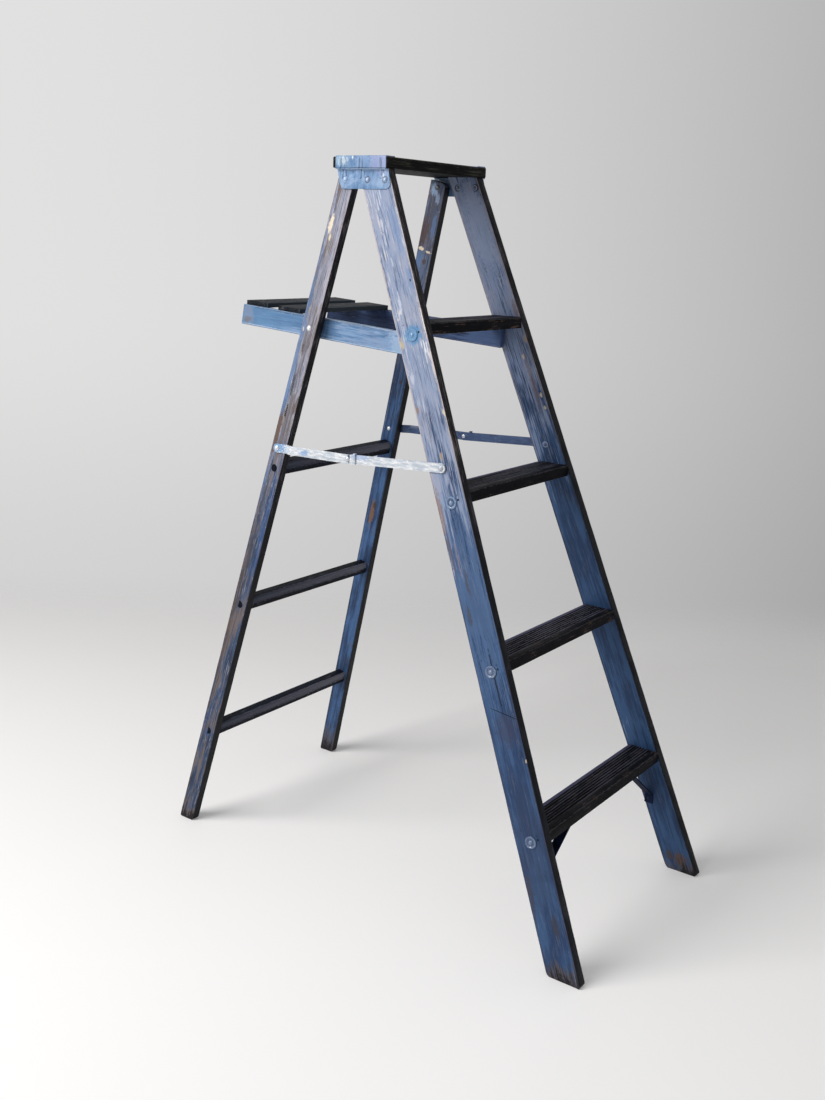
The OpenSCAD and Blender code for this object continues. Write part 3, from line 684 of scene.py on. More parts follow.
@dataclass
class Layout:
    """The ladder's sizes that the finishes and pieces line up with, in metres and degrees."""

    front_floor_half: float = 0.2763
    rear_floor_half: float = 0.2647
    spread: float = 1.0781
    front_lean: float = 22.0
    rear_lean: float = 14.0
    front_flare: float = 4.365
    rear_flare: float = 3.977
    leg_depth: float = 0.04122
    shelf_tilt: float = 3.552
    shelf_pivot: Tuple[float, float] = (0.22984, 1.1575)
    arm_wide: float = 0.042

    def rail_grain(self, side: Side) -> Grain:
        """Gives the grain of a side rail, from its foot's front edge.

        Args:
            side: which rail.

        Returns:
            The grain.
        """
        lean, flare = math.radians(self.front_lean), math.radians(self.front_flare)
        x = side.value * self.front_floor_half
        along = (-side.value * math.tan(flare), math.tan(lean), 1.0)
        return Grain((x, -self.spread / 2, 0.0), (0.0, 1.0, 0.0), along)

    def leg_grain(self, side: Side) -> Grain:
        """Gives the grain of a rear leg, from its foot's front edge.

        Args:
            side: which leg.

        Returns:
            The grain.
        """
        lean, flare = math.radians(self.rear_lean), math.radians(self.rear_flare)
        x = side.value * self.rear_floor_half
        along = (-side.value * math.tan(flare), -math.tan(lean), 1.0)
        return Grain((x, self.spread / 2 - self.leg_depth, 0.0), (0.0, 1.0, 0.0), along)

    def cross_grain(self, node: str) -> Grain:
        """Returns the grain of a board that runs across the ladder, from its front lower edge."""
        low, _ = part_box(node)
        return Grain((low[0], low[1], low[2]), (0.0, 1.0, 0.0), (1.0, 0.0, 0.0))

    def arm_grain(self) -> Grain:
        """Gives the grain of the shelf arms, from their lower edge below the pivot.

        Returns:
            The grain.
        """
        tilt = math.radians(self.shelf_tilt)
        y, z = self.shelf_pivot
        return Grain((0.0, y, z - self.arm_wide / 2 / math.cos(tilt)), (0.0, 0.0, 1.0),
                     (0.0, math.cos(tilt), math.sin(tilt)))


@dataclass
class FrontFrame:
    """Side rails, steps, rods, braces, cap and brackets, in millimetres."""

    layout: Layout
    body: str = "front_frame"
    rivet_y: Tuple[float, ...] = (60.3, 102.1, 157.2)
    rivet_z: float = 1448.9
    rivet_shadow_radius: float = 6.8
    plate_corner: float = 13.0
    plate_inset: float = 1.2
    plate_reach: float = 50.0
    nail_first: Tuple[float, float] = (17.6, 287.3)
    nail_pitch: Tuple[float, float] = (0.2, 328.7)
    nail_half: float = 2.4
    rod_first: Tuple[float, float] = (-401.5, 249.7)
    rod_pitch: Tuple[float, float] = (123.15, 304.8)
    ridges: Tuple[str, ...] = ("45454f", "54545f", "54545f", "54545f")

    def rounded(self, at: Vector, low: Vector) -> Vector:
        """Pulls a point of a bracket in, so that its lower front corner is round.

        Args:
            at: the point.
            low: the bracket's lowest corner.

        Returns:
            The new place.
        """
        r = self.plate_corner * MM
        middle = Vector((at.x, low.y + r + self.plate_inset * MM, low.z + r))
        off = at - middle
        if off.y < 0 and off.z < 0 and off.length > r:
            return middle + off.normalized() * r
        return at.copy()

    def rails(self) -> None:
        """Builds the two side rails."""
        # Pine shows long dark grain lines through thin enamel, and long use leaves pale
        # scratches, knocked corners and feet worn to the wood. The coat is painted paler high up,
        # partly as chalk and partly as painted light, and the front faces dark as painted shade
        near = BrushedPaint(
            "brushed_enamel_on_pine_rail_left", deep="2b4063", mid="3d587e", pale="8d9ab5",
            warm="9ca2b6", scratch="c0c4d1", line="414c66", wood="5f5654", edge="3f4154",
            edge_high="bdb1b0", front="070a14", front_shade_high="201e22", width=68, low=0.70, high=1.24,
            paling=0.9, lines=0.65, scratches=0.85, calm=0.10, chips=0.9, rim=0.85, rim_wide=3.0,
            foot=60, seed=1.0, spots=(
                Spot(32, 1272, 19, 20, "5288b4", 0.8, 0.4, 0.1),
                Spot(62, 1262, 4, 10, "c0b08f", 0.75), Spot(57, 1190, 4, 12, "c6cbd8", 0.6),
                Spot(61, 1132, 3, 8, "93775f", 0.7), Spot(4, 1112, 3, 6, "d6cab2", 0.9),
                Spot(12, 1240, 2, 16, "dfe0e6"), Spot(7, 1236, 1.6, 20, "d9dae2"),
                Spot(58, 1310, 2, 3, "d4c8bc", 0.7), Spot(50, 1322, 3, 4, "d6ccc2", 0.7),
                Spot(14, 1222, 1.6, 14, "d4d6de"), Spot(18, 1250, 1.4, 12, "ccd0da"),
                Spot(2, 1285, 2.4, 26, "e0d6d0", 0.9), Spot(4, 1205, 2, 30, "d2c8c6"),
                Spot(33, 1033, 3, 7, "a8926c"), Spot(31, 991, 4, 12, "aab3c8", 0.6),
                Spot(43, 1533, 2, 14, "d2d3da", 0.55), Spot(44, 1494, 2, 16, "d4d5dc", 0.55),
                Spot(45, 1465, 2, 12, "ccced8", 0.55), Spot(41, 1419, 2, 10, "c9ccd6", 0.55),
                Spot(50, 1500, 2, 20, "c9c4c8", 0.7), Spot(53, 1440, 1.8, 18, "cfc8c6", 0.7),
                Spot(38, 1403, 4, 9, "6e7484", 0.6), Spot(46, 1336, 3, 22, "c8ccd8", 0.7),
                Spot(15, 1483, 9, 34, "6b86ae", 0.4), Spot(14, 1443, 8, 24, "6b86ae", 0.4),
                Spot(10, 1373, 7, 26, "6a85ac", 0.4),
                Spot(34, 270, 40, 120, "343e56", 0.45, 0.3, 0.6),
                Spot(32, 750, 40, 170, "587297", 0.5, 0.3, 0.7),
                Spot(10, 1373, 2, 3, "1f2b42", 0.9), Spot(64, 930, 5, 46, "8b7266", 0.7),
                Spot(62, 850, 4, 40, "5f5a66", 0.7), Spot(49, 834, 3, 34, "8a7c88", 0.6),
                Spot(42, 784, 3, 26, "4e4a4c", 0.7), Spot(53, 727, 3, 22, "4a4546", 0.7),
                Spot(29, 600, 2, 62, "141a29", 0.8), Spot(30, 500, 20, 30, "3d3f54", 0.6),
                Spot(2, 438, 2, 4, "c7b89c", 0.9),
                Spot(27, 531, 33, 0.9, "0f131e", 0.95, 0.08, 0.0, 28.0),
                Spot(60, 190, 5, 40, "43404a", 0.7), Spot(24, 120, 7, 22, "3f3b42", 0.7)))
        (nail_y, nail_z), (more_y, more_z) = self.nail_first, self.nail_pitch
        nails = tuple(Spot(nail_y + more_y * k, nail_z + more_z * k, self.nail_half,
                           self.nail_half, "10151f", 0.95, 0.1, 0.0) for k in range(4))
        near = replace(near, spots=near.spots + nails)
        far = BrushedPaint(
            "brushed_enamel_on_pine_rail_right", deep="283d5e", mid="39557b", pale="7989a9",
            warm="858ea6", scratch="a5a9ba", line="232a3c", wood="5a5250", edge="2a2c38",
            edge_high="8c7f80", front="060810", front_shade_high="0d0f17", width=68, low=0.78, high=1.42,
            paling=0.95, lines=0.75, scratches=0.6, calm=0.12, chips=0.9, rim=0.75, rim_wide=4.0,
            foot=60, seed=2.0, spots=(
                Spot(54, 1589, 8, 8, "a9aec4", 0.6), Spot(28, 1560, 16, 34, "8f97ae", 0.6),
                Spot(30, 1490, 24, 90, "8e9bb7", 0.65),
                Spot(54, 1589, 8, 8, "20242e", 0.85, 0.1, 0.0),
                Spot(11, 1573, 8, 8, "20242e", 0.85, 0.1, 0.0),
                Spot(8, 1300, 5, 30, "756467", 0.7), Spot(20, 1150, 6, 60, "6d5f64", 0.6),
                Spot(24, 1206, 3, 6, "c0b29a", 0.9), Spot(10, 1117, 3, 5, "b9ab94", 0.9),
                Spot(10, 1088, 3, 4, "b0a48e", 0.9), Spot(6, 1240, 3, 7, "a08a78", 0.9),
                Spot(27, 45, 14, 16, "5e4435"), Spot(50, 58, 9, 12, "4a3d38", 0.7)))
        for node, side, finish in (("left_side_rail", Side.LEFT, near),
                                   ("right_side_rail", Side.RIGHT, far)):
            easing = Easing(width=1.6, wear=0.8, foot=8.0, foot_side=3.0, seed=finish.seed)
            piece = Piece(node, self.body, "rail_paint")
            piece.weather(easing)
            material = finish.make(self.layout.rail_grain(side))
            piece.finish(material)
            if side is Side.LEFT:
                # The nails were brushed over with the rails, and only the front ones show
                paint(["step_nails"], material)

    def steps(self) -> None:
        """Builds the four steps."""
        # Black floor enamel in the grooves; shoes have rubbed the ridges grey, and they are also
        # painted lighter as a highlight
        for number in (1, 2, 3, 4):
            node = f"step_{number}"
            finish = TreadPaint(
                f"worn_black_enamel_on_pine_{node}", deep="07080c", mid="13141a", scratch="2a2a31",
                wood="6b5648", edge="57535a", ridge=self.ridges[number - 1], back="4a4a64",
                scratches=0.7, chips=0.7, rim=0.6, gloss=0.05, roughness=(0.45, 0.65),
                seed=10.0 + number)
            easing = Easing(width=0.5, wear=0.4, seed=number)
            piece = Piece(node, self.body, "step_paint")
            piece.weather(easing)
            piece.finish(finish.make(self.layout.cross_grain(node)))

    def cap(self) -> None:
        """Builds the top cap."""
        # The same floor enamel on the cap's flat board, worn grey along its edges
        finish = TreadPaint(
            "worn_black_enamel_on_pine_cap", deep="0a0a0b", mid="151514", scratch="33342f",
            wood="575249", edge="5c5852", ridge="26282a", back="2c2e30", scratches=0.8, chips=0.5,
            rim=0.6, step_t=21.2, front_band=4.0, gloss=0.08, roughness=(0.5, 0.7), seed=20.0)
        easing = Easing(width=1.0, wear=0.6, seed=5.0)
        piece = Piece("top_cap", self.body, "step_paint")
        piece.weather(easing)
        piece.finish(finish.make(self.layout.cross_grain("top_cap")))

    def steel(self) -> None:
        """Paints the brackets, rods, washers, braces and fasteners."""
        # Gloss enamel brushed over pressed steel: smooth, with white splashes, painted shadow rings
        # around the rivets, painted shade and highlight lines along the beads, and a painted shadow
        # line under the band above a painted highlight strip on the plate's top
        for side, node in ((Side.LEFT, "left_cap_bracket"), (Side.RIGHT, "right_cap_bracket")):
            low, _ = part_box(node)
            # Painted shadow rings around the rivet heads
            rivet_shadows = tuple(
                Spot(y - low[1] / MM, self.rivet_z - low[2] / MM, self.rivet_shadow_radius,
                     self.rivet_shadow_radius, "1c2a42", 0.9, 0.1, 0.0) for y in self.rivet_y)
            bracket = PaintedSteel(
                f"glossy_enamel_on_pressed_steel_{side.name.lower()}", coat="5779a2",
                light="7996b8", chip="c9d3de", chips=0.1, roughness=(0.2, 0.36),
                grain=Grain((0.0, low[1], low[2]), (0.0, 1.0, 0.0), (0.0, 0.0, 1.0)), spots=(
                    Spot(24, 50, 24, 20, "969ec4", 0.75, 0.4), Spot(66, 52, 18, 14, "8aa3c6", 0.6),
                    Spot(112, 53, 5, 8, "e2e8ee", 0.85), Spot(104, 55, 4, 4, "c9d6e4", 0.6),
                    Spot(124, 50, 1.6, 7, "cdd8e4", 0.7), Spot(90, 58, 1.6, 3, "dde5ec", 0.9),
                    Spot(118, 52, 14, 12, "a3bccb", 0.5),
                    # Painted shade lines and a painted highlight line along the pressed beads
                    Spot(110, 28, 0.9, 7, "2c4064", 0.8, 0.05, 0.0),
                    Spot(66, 40, 0.9, 20, "2c4064", 0.8, 0.05, 0.0),
                    Spot(20, 39, 0.9, 18, "2c4064", 0.8, 0.05, 0.0),
                    Spot(22, 39, 1.0, 18, "b4c8e2", 0.6, 0.1, 0.0),
                    # A painted highlight strip along the plate's top, then a painted shadow line
                    # under the band
                    Spot(20, 22, 4, 6, "c3cfe4", 0.8), Spot(60, 36.4, 80, 1.5, "a9c0dc", 0.8, 0.1),
                    Spot(60, 38.6, 80, 0.9, "1d2a40", 0.8, 0.05, 0.0)) + rivet_shadows)
            piece = Piece(node, self.body, "bracket_paint")
            piece.split(lambda at, low=low: (at - Vector((at.x, *low[1:]))).length
                        < self.plate_reach * MM)
            piece.shift(lambda at, low=low: self.rounded(at, Vector(low)))
            piece.ease(Easing(width=0.5))
            piece.finish(bracket.make())
        # The rods' washers wear the rails' own colours, darker low down and glossier, with painted
        # highlights: a pale ring on each rim and a pale dot at each rod's end
        (rod_y, rod_z), (more_y, more_z) = self.rod_first, self.rod_pitch
        # Painted highlights: a pale ring on each rim and a pale dot at each end, over a
        # coat-coloured ring
        worn = tuple(spot for k in range(3) for spot in (
            Spot(rod_y + more_y * k, rod_z + more_z * k, 11.2, 11.2, "a4b4cb",
                 0.35 + 0.15 * k, 0.35, 0.0),
            Spot(rod_y + 0.5 + more_y * k, rod_z + 0.5 + more_z * k, 8.8, 8.8, "2c466c", 0.9,
                 0.2, 0.0),
            Spot(rod_y + more_y * k, rod_z + more_z * k, 4.4, 4.4, "8fa2be",
                 0.4 + 0.15 * k, 0.5, 0.0)))
        washer = PaintedSteel(
            "enamel_on_dished_steel", coat="6089b0", light="6e97bd", chip="c4d4e4", chips=0.0,
            roughness=(0.10, 0.22), gloss=0.7, low_coat="2f4c75", low=0.6, high=1.15, wide=9,
            long=9, bump=0.0, seed=1.0, spots=worn)
        paint(["truss_rod_washers"] + [f"truss_rod_{k}" for k in (1, 2, 3, 4)], washer.make())
        # Thin dark enamel on rolled strap, gone dull and dusty
        strap = PaintedSteel(
            "dark_enamel_on_strap_steel", coat="0d1424", light="17223c", chip="414a5e", chips=0.05,
            roughness=(0.6, 0.75), gloss=0.05, seed=2.0)
        paint(["left_step_brace", "right_step_brace"], strap.make())
        # Heads under the brackets' enamel, pale and flecked white, partly rubbed and partly a
        # painted highlight, and grey inside the rails
        rivet = PaintedSteel(
            "enamel_over_steel_rivet", coat="7f9cc4", light="a4bcda", chip="f2f5f8", chips=0.15,
            roughness=(0.12, 0.25), gloss=0.6, wide=4, long=4, seed=3.0, inner="4b505c")
        paint(["bracket_rivets", "hinge_rivets"], rivet.make())
        # Grey steel with a dull sheen, painted over on the right side
        bare = PaintedSteel(
            "dull_steel_rivet", coat="9aa0aa", light="c4c8d0", chip="4a4c52", chips=0.2,
            roughness=(0.3, 0.5), metallic=0.4, seed=3.5, wide=4, long=4, right="2c4064")
        paint(["cap_nails", "spreader_front_rivets"], bare.make())
        # Screw heads brushed over with the braces' enamel
        dark = PaintedSteel(
            "painted_over_fastener", coat="131826", light="232c42", chip="3a4254", chips=0.1,
            roughness=(0.55, 0.7), gloss=0.1, seed=4.0)
        paint(["brace_screws"], dark.make())
        # Washers whose enamel has chipped down to dark steel
        ring = PaintedSteel(
            "chipped_enamel_on_washer", coat="66779b", light="8d9bb8", chip="2a3040", chips=0.35,
            roughness=(0.3, 0.45), wide=5, long=5, seed=4.5)
        paint(["rivet_washers"], ring.make())


@dataclass
class RearFrame:
    """Rear legs, rungs and their rivets."""

    layout: Layout
    body: str = "rear_frame"

    def legs(self) -> None:
        """Builds the two rear legs."""
        # The weather has thinned the enamel to blue and brown-grey stripes along the grain; higher
        # up the coat is painted paler, partly as painted light, and the front faces dark as painted
        # shade
        near = BrushedPaint(
            "thin_enamel_on_weathered_pine_leg_left", deep="2f3d55", mid="4b5e7e", pale="9ea1b5",
            warm="9d9799", scratch="c0bcc4", line="26262e", wood="6b5f5b", wood_dark="231f20",
            edge="2f3343", edge_high="a79fa6", front="0f1015", front_shade_high="1d1c22", width=40,
            low=0.50, high=1.25, paling=0.9, lines=0.85, scratches=0.75, calm=0.6, chips=0.7,
            bare=0.55, rim=0.6, rim_wide=3.0, foot=50, seed=3.0, spots=(
                Spot(5, 1350, 4, 230, "b0adb8", 0.5, 0.3, 1.0),
                Spot(20, 1180, 9, 330, "73747f", 0.5, 0.4, 1.0),
                Spot(36, 1090, 6, 260, "54759f", 0.7, 0.4, 0.6),
                Spot(30, 1402, 5, 18, "e2d4bd", 0.95, 0.5, 0.15),
                Spot(25, 1376, 2.5, 9, "d8cab4", 0.9, 0.5, 0.15),
                Spot(34, 1185, 2, 5, "ccc4bc", 0.8), Spot(34, 960, 6, 46, "66503f", 0.9),
                Spot(8, 760, 6, 120, "3d5a8a", 0.55, 0.6, 0.9),
                Spot(30, 640, 8, 150, "4c4444", 0.6, 0.6, 0.9),
                Spot(36, 500, 4, 180, "574539", 0.6, 0.6, 0.9),
                Spot(22, 230, 6, 7, "33507c", 0.7)))
        far = BrushedPaint(
            "thin_enamel_on_weathered_pine_leg_right", deep="283b5a", mid="42608a", pale="5d667c",
            warm="5f5656", scratch="8d90a0", line="17191f", wood="5c5250", edge="262b38",
            edge_high="5c5a62", front="111217", front_shade_high="1e1e24", width=40, low=0.8, high=1.5,
            paling=0.85, lines=0.6, scratches=0.5, calm=0.25, chips=0.8, bare=0.15, rim=0.5,
            rim_wide=4.0, foot=90, seed=4.0, spots=(
                Spot(20, 1440, 18, 60, "2a2424", 0.4, 0.6, 0.9),
                Spot(30, 1395, 9, 30, "4c3a33", 0.7, 0.6, 0.9),
                Spot(26, 1487, 9, 12, "8fa6c4", 0.8), Spot(14, 1470, 5, 12, "8d9cb8", 0.7),
                Spot(10, 1410, 5, 26, "5f7ba6", 0.5), Spot(32, 1325, 8, 26, "5f7ba6", 0.6),
                Spot(31, 1357, 7, 4, "d9c8ae", 0.9, 0.6, 0.15),
                Spot(12, 1354, 8, 2.5, "cfc2ac", 0.9, 0.6, 0.15), Spot(17, 1331, 5, 7, "4b3c34"),
                Spot(14.5, 1050, 4, 6, "40352f"), Spot(24, 706, 6, 34, "75543b", 0.85),
                Spot(20, 730, 5, 7, "3a312d")))
        for node, side, finish in (("left_rear_leg", Side.LEFT, near),
                                   ("right_rear_leg", Side.RIGHT, far)):
            easing = Easing(width=1.4, wear=0.8, foot=6.0, foot_side=3.0, seed=finish.seed)
            piece = Piece(node, self.body, "leg_paint")
            piece.weather(easing)
            piece.finish(finish.make(self.layout.leg_grain(side)))

    def rungs(self) -> None:
        """Builds the three rungs."""
        # Navy enamel, scratched along the grain
        for number in (1, 2, 3):
            node = f"rear_rung_{number}"
            finish = BrushedPaint(
                f"worn_navy_enamel_on_pine_{node}", deep="05070c", mid="0b101c", pale="1b2233",
                scratch="4c5160", wood="55504f", edge="30384e", width=24, low=-1.0, high=2.0,
                paling=0.4, scratches=0.5, rim=0.4, rim_wide=3.0, roughness=(0.4, 0.55), gloss=0.06,
                seed=30.0 + number, shaded_front=False)
            piece = Piece(node, self.body, "rung_paint")
            piece.wear(Easing(wear=0.4, seed=number))
            piece.finish(finish.make(self.layout.cross_grain(node)))

    def steel(self) -> None:
        """Paints the rivets, bolts and spacers."""
        # Steel kept bright by the bars that turn on it
        bare = PaintedSteel(
            "bright_steel_rivet", coat="c3c6cc", light="e6e8ec", chip="5a5c62", chips=0.1,
            roughness=(0.2, 0.35), metallic=0.3, seed=5.0, wide=4, long=4)
        paint(["spreader_rear_rivets", "shelf_pivot_bolts", "shelf_pivot_spacers"], bare.make())


@dataclass
class Spreaders:
    """The folding steel bars on each side, in metres."""

    front_pin: Tuple[float, float] = (-0.12654, 0.922)

    def bars(self) -> None:
        """Builds the four bars and their knee rivets."""
        # Aluminium paint splashed over blue enamel on the near side, plain blue on the other
        grain = Grain((0.0, *self.front_pin), (0.0, 0.0, 1.0), (0.0, 1.0, 0.0))
        near = PaintedSteel(
            "splashed_enamel_on_flat_steel", coat="b2bbc6", light="dddfe2", chip="f4f4f4",
            chips=0.6, roughness=(0.25, 0.42), wide=5, long=22, seed=6.0, grain=grain, spots=(
                Spot(-12, 425, 16, 30, "6f98c4", 0.85, 0.6), Spot(-16, 340, 5, 12, "7fa0c8", 0.8),
                Spot(-3, 196, 9, 20, "8fa6cc", 0.7), Spot(-9, 222, 12, 3, "24355c", 0.9, 0.2, 0.0),
                # The narrow dark band 222 mm back is painted shade on the knee tab's shaded edge
                Spot(0, -13, 9, 3, "22345a", 0.9, 0.2, 0.0)))
        far = PaintedSteel(
            "dark_enamel_on_flat_steel", coat="33466a", light="42567c", chip="c3ccd8", chips=0.12,
            roughness=(0.3, 0.45), wide=6, long=20, seed=7.0, grain=grain)
        for side, finish in (("left", near), ("right", far)):
            for half in ("front", "rear"):
                piece = Piece(f"{side}_spreader_{half}_bar", f"{side}_{half}_bar",
                              "spreader_paint")
                piece.ease(Easing(width=0.6))
                piece.finish(finish.make())
            # Grey steel, dulled by weather
            rivet = PaintedSteel(
                f"steel_knee_rivet_{side}", coat="a8adb6", light="d4d7dc", chip="4a4c52",
                chips=0.15, roughness=(0.25, 0.4), metallic=0.4, seed=8.0, wide=4, long=4)
            paint([f"{side}_knee_rivet", f"{side}_knee_burr"], rivet.make())


@dataclass
class PailShelf:
    """The shelf that swings between the rear legs, in metres."""

    layout: Layout
    body: str = "pail_shelf"
    rear_end: float = 0.440
    end_lean: float = 0.12

    def sawn(self, at: Vector) -> Vector:
        """Saws the arms' rear ends on a slant.

        Args:
            at: a point of an arm.

        Returns:
            The point's new place.
        """
        if at.y < self.rear_end:
            return at.copy()
        middle = self.layout.shelf_pivot[1] + (at.y - self.layout.shelf_pivot[0]) * math.tan(
            math.radians(self.layout.shelf_tilt))
        return at - Vector((0.0, (at.z - middle) * self.end_lean, 0.0))

    def arms(self) -> None:
        """Builds the two arms."""
        # A fuller and glossier coat than the rails', light on the near arm and navy on the far one,
        # whose dark colour stands partly for painted shade
        near = BrushedPaint(
            "brushed_enamel_on_pine_arm_left", deep="4b6f96", mid="597fa5", pale="7d9abd",
            warm="8797b5", scratch="9fb4cc", line="2f4c70", wood="6d6464", edge="93a9c2",
            edge_high="93a9c2", front="3f5f86", front_shade_high="4c6c92", width=42, low=0.2, high=-0.3,
            paling=0.75, lines=0.25, scratches=0.15, chips=0.4, rim=0.6, rim_wide=2.4, gloss=0.35,
            seed=5.0, spots=(
                Spot(21, 203, 30, 16, "77849a", 0.6, 0.4), Spot(12, 206, 6, 9, "6f6056", 0.6),
                Spot(21, -222, 30, 30, "93abc6", 0.75, 0.4), Spot(34, -214, 3, 14, "53749c", 0.7),
                Spot(2, 0, 1.6, 240, "a9bdd4", 0.6), Spot(40, 20, 2, 200, "26364f", 0.5)))
        # The far arm's dark navy is partly painted shade
        far = BrushedPaint(
            "brushed_enamel_on_pine_arm_right", deep="1a2640", mid="293959", pale="475a7f",
            scratch="6f7fa2", wood="55504f", edge="2c3850", edge_high="6a7696", front="1c2a49",
            front_shade_high="1c2a49", width=42, low=-0.02, high=-0.24, paling=0.9, lines=0.3,
            scratches=0.3, rim=0.5, rim_wide=3.0, seed=6.0)
        for node, finish in (("left_shelf_arm", near), ("right_shelf_arm", far)):
            easing = Easing(width=1.0, wear=0.5, seed=finish.seed)
            piece = Piece(node, self.body, "shelf_paint")
            piece.shift(self.sawn)
            piece.weather(easing)
            piece.finish(finish.make(self.layout.arm_grain()))

    def slats(self) -> None:
        """Builds the two slats."""
        # Thin near-black enamel, rubbed dull by pails
        for number, node in enumerate(("shelf_slat_rear", "shelf_slat_front")):
            finish = BrushedPaint(
                f"worn_dark_enamel_on_pine_{node}", deep="0c0f14", mid="1b2027", pale="363b44",
                scratch="565d63", wood="5a544c", edge="3c454e", edge_high="3c454e", width=62,
                low=-1.0, high=1.5, paling=0.5, scratches=0.6, chips=0.4, bare=0.15, rim=0.6,
                rim_wide=3.0, roughness=(0.5, 0.7), gloss=0.08, seed=40.0 + number,
                shaded_front=False)
            easing = Easing(width=0.8, wear=0.4, seed=number + 7.0)
            piece = Piece(node, self.body, "slat_paint")
            piece.weather(easing)
            piece.finish(finish.make(self.layout.cross_grain(node)))

    def steel(self) -> None:
        """Paints the nails."""
        # Bare nail heads, rusted brown and rough
        dark = PaintedSteel(
            "rusty_nail", coat="3a3532", light="55504c", chip="1d1c1c", roughness=(0.5, 0.7),
            metallic=0.5, seed=9.0)
        paint(["slat_nails"], dark.make())


# ---------------------------------------------------------------- the studio


@dataclass
class Studio:
    """Pale floor and surroundings, one soft window light, and the camera, in metres."""

    camera_at: Tuple[float, float, float] = (-2.09524, -1.41367, 1.35489)
    heading_degrees: float = 35.54
    pitch: float = -0.258
    roll: float = 0.038
    lens_mm: float = 39.853
    shift: Tuple[float, float] = (0.00045, 0.003)
    floor_reach: float = 9.0
    floor_behind: float = 2.05
    floor_glow: Tuple[float, float] = (0.135, 0.185)
    floor_fade: Tuple[float, float] = (-0.75, 0.1)
    floor_sides: Tuple[float, float] = (-1.0, 0.3)
    floor_depth: Tuple[float, float] = (-0.5, 1.3)
    floor_dim: Tuple[float, float] = (0.93, 0.22)
    wall_sides: Tuple[float, float] = (-0.34, 0.34)
    wall_power: float = 1.8
    wall_heights: Tuple[float, float] = (-0.30, -0.06)
    wall_dim: float = 0.86
    fill: float = 0.42
    window_size: float = 2.2
    window_watts: float = 120.0
    window_at: Tuple[float, float, float] = (-2.6, 1.5, 2.9)
    window_aim: Tuple[float, float, float] = (0.0, 0.0, 0.7)

    def axes(self) -> Tuple[Vector, Vector, Vector]:
        """Works out how the camera is turned.

        Returns:
            Its right, up and forward directions.
        """
        a, p = math.radians(self.heading_degrees), self.pitch
        forward = Vector((math.cos(a) * math.cos(p), math.sin(a) * math.cos(p), math.sin(p)))
        right = forward.cross(Vector((0, 0, 1))).normalized()
        up = right.cross(forward)
        c, s = math.cos(self.roll), math.sin(self.roll)
        return right * c + up * s, up * c - right * s, forward

    def camera(self) -> None:
        """Makes the camera."""
        right, up, forward = self.axes()
        data = bpy.data.cameras.new("camera")
        data.lens = self.lens_mm
        data.shift_x, data.shift_y = self.shift
        data.clip_start, data.clip_end = 0.05, 100.0
        camera = bpy.data.objects.new("camera", data)
        camera.matrix_world = Matrix.Translation(self.camera_at) @ Matrix(
            (right, up, -forward)).transposed().to_4x4()
        bpy.context.scene.collection.objects.link(camera)
        bpy.context.scene.camera = camera

    def floor(self) -> None:
        """Makes the pale floor, which glows as painted light and fades out behind the ladder."""
        shape = bmesh.new()
        bmesh.ops.create_grid(shape, x_segments=1, y_segments=1, size=self.floor_reach)
        data = bpy.data.meshes.new("floor")
        shape.to_mesh(data)
        shape.free()
        floor = bpy.data.objects.new("floor", data)
        bpy.context.scene.collection.objects.link(floor)
        # Matt white paint, rolled on: it takes a soft shadow and shows no gloss. For the camera and
        # in reflections it also glows, brighter to the left and near the camera, as painted light
        material, tree = blank("rolled_matt_paint_studio_floor")
        a = math.radians(self.heading_degrees)
        place = add(tree, "TexCoord", {}, {}, "Object")
        depth = add(tree, "VectorMath", {"operation": "DOT_PRODUCT"}, {
            0: place, 1: (math.cos(a), math.sin(a), 0.0)}, "Value")
        aside = add(tree, "VectorMath", {"operation": "DOT_PRODUCT"}, {
            0: place, 1: (math.sin(a), -math.cos(a), 0.0)}, "Value")
        gone = add(tree, "MapRange", {"interpolation_type": "SMOOTHSTEP"}, {
            "Value": depth, "From Min": self.floor_behind + self.floor_fade[0],
            "From Max": self.floor_behind + self.floor_fade[1]}, "Result")
        # Painted light: the glow is stronger to the left and nearer the camera
        glow = add(tree, "MapRange", {}, {
            "Value": aside, "From Min": self.floor_sides[0], "From Max": self.floor_sides[1],
            "To Min": self.floor_glow[0], "To Max": self.floor_glow[1]}, "Result")
        near = add(tree, "MapRange", {}, {
            "Value": depth, "From Min": self.floor_depth[0], "From Max": self.floor_depth[1],
            "To Min": self.floor_dim[0], "To Max": self.floor_dim[1]}, "Result")
        glow = add(tree, "Math", {"operation": "MULTIPLY"}, {0: glow, 1: near})
        glow = add(tree, "Math", {"operation": "MULTIPLY"}, {0: glow, 1: self.seen(tree)})
        matt = add(tree, "BsdfPrincipled", {}, {
            "Base Color": "f5f3f1", "Roughness": 0.7, "Emission Color": "ffffff",
            "Emission Strength": glow})
        clear = add(tree, "BsdfTransparent", {}, {})
        both = add(tree, "MixShader", {}, {0: gone, 1: matt, 2: clear})
        add(tree, "OutputMaterial", {}, {"Surface": both})
        data.materials.append(material)

    def seen(self, tree: bpy.types.NodeTree) -> Any:
        """Adds a value of 1 where the view, or a gloss or glass in it, looks at a surface.

        Args:
            tree: the node tree.

        Returns:
            The value's socket.
        """
        path = add(tree, "LightPath", {}, {}, "Is Camera Ray").node
        gloss = add(tree, "Math", {"operation": "MAXIMUM"}, {
            0: path.outputs["Is Glossy Ray"], 1: path.outputs["Is Transmission Ray"]})
        return add(tree, "Math", {"operation": "MAXIMUM"}, {
            0: path.outputs["Is Camera Ray"], 1: gloss})

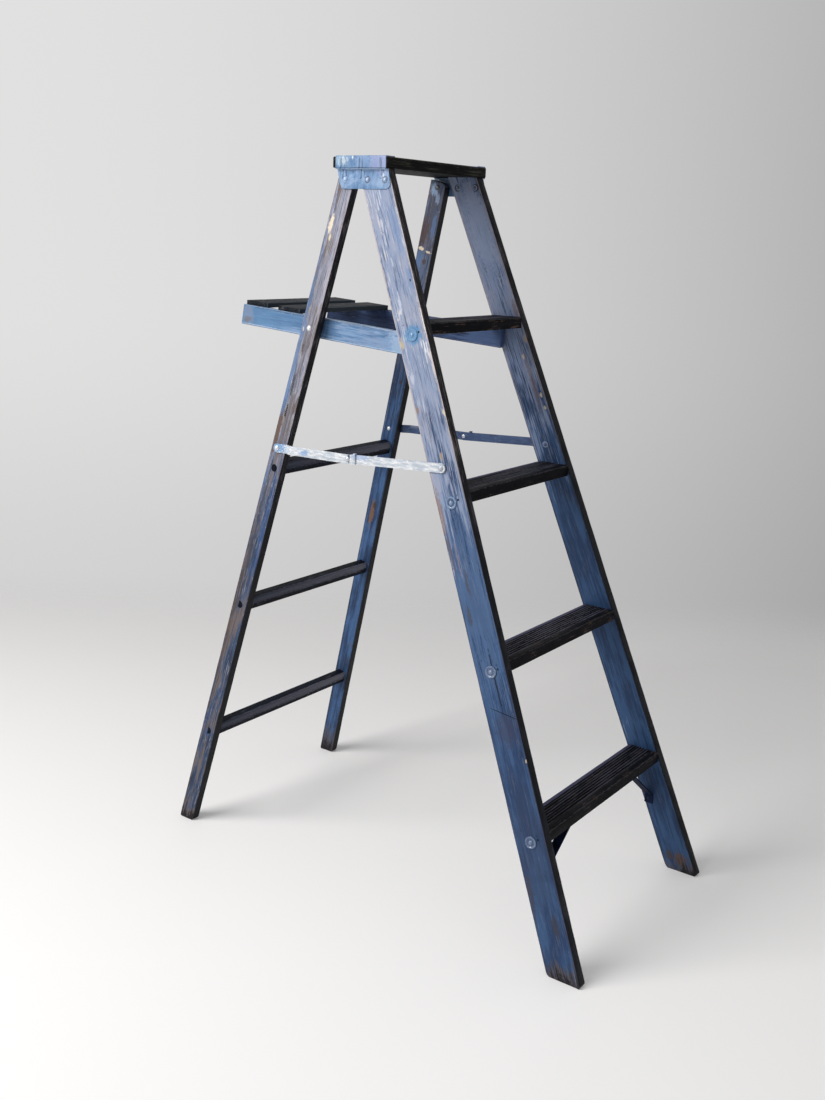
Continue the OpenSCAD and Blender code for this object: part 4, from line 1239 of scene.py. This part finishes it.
    def world(self) -> None:
        """Makes the soft surroundings, lighter towards the window and dimmer near the floor."""
        world = bpy.data.worlds.new("studio_walls")
        bpy.context.scene.world = world
        world.use_nodes = True
        tree = world.node_tree
        tree.nodes.clear()
        right, _, _ = self.axes()
        look = add(tree, "TexCoord", {}, {}, "Generated")
        aside = add(tree, "VectorMath", {"operation": "DOT_PRODUCT"}, {
            0: look, 1: tuple(right)}, "Value")
        share = add(tree, "MapRange", {}, {
            "Value": aside, "From Min": self.wall_sides[0], "From Max": self.wall_sides[1]},
            "Result")
        share = add(tree, "Math", {"operation": "POWER"}, {0: share, 1: self.wall_power})
        wall = add(tree, "Mix", {"data_type": "RGBA"}, {0: share, 6: "e2e1e1", 7: "b1b1b2"}, 2)
        high = add(tree, "SeparateXYZ", {}, {0: look}, 2)
        dim = add(tree, "MapRange", {"interpolation_type": "SMOOTHSTEP"}, {
            "Value": high, "From Min": self.wall_heights[0], "From Max": self.wall_heights[1],
            "To Min": self.wall_dim, "To Max": 1.0}, "Result")
        behind = add(tree, "Background", {}, {"Color": wall, "Strength": dim})
        fill = add(tree, "Background", {}, {"Color": "e3e4e6", "Strength": self.fill})
        both = add(tree, "MixShader", {}, {0: self.seen(tree), 1: fill, 2: behind})
        add(tree, "OutputWorld", {}, {"Surface": both})

    def light(self) -> None:
        """Makes the window light, high on the left and a little behind."""
        data = bpy.data.lights.new("window", "AREA")
        data.shape = "RECTANGLE"
        data.size, data.size_y = self.window_size, self.window_size
        data.energy = self.window_watts
        lamp = bpy.data.objects.new("window", data)
        lamp.location = self.window_at
        aim = Vector(self.window_aim) - lamp.location
        lamp.rotation_mode = "QUATERNION"
        lamp.rotation_quaternion = aim.to_track_quat("-Z", "Y")
        bpy.context.scene.collection.objects.link(lamp)


def main() -> None:
    """Builds the ladder and the studio."""
    logging.basicConfig(level=logging.INFO, format="%(name)s: %(message)s")
    bpy.context.scene.view_settings.view_transform = "Standard"
    studio = Studio()
    studio.camera()
    layout = Layout()
    front = FrontFrame(layout)
    front.rails()
    front.steps()
    front.cap()
    front.steel()
    rear = RearFrame(layout)
    rear.legs()
    rear.rungs()
    rear.steel()
    Spreaders().bars()
    shelf = PailShelf(layout)
    shelf.arms()
    shelf.slats()
    shelf.steel()
    studio.floor()
    studio.world()
    studio.light()


if __name__ == "__main__":
    main()
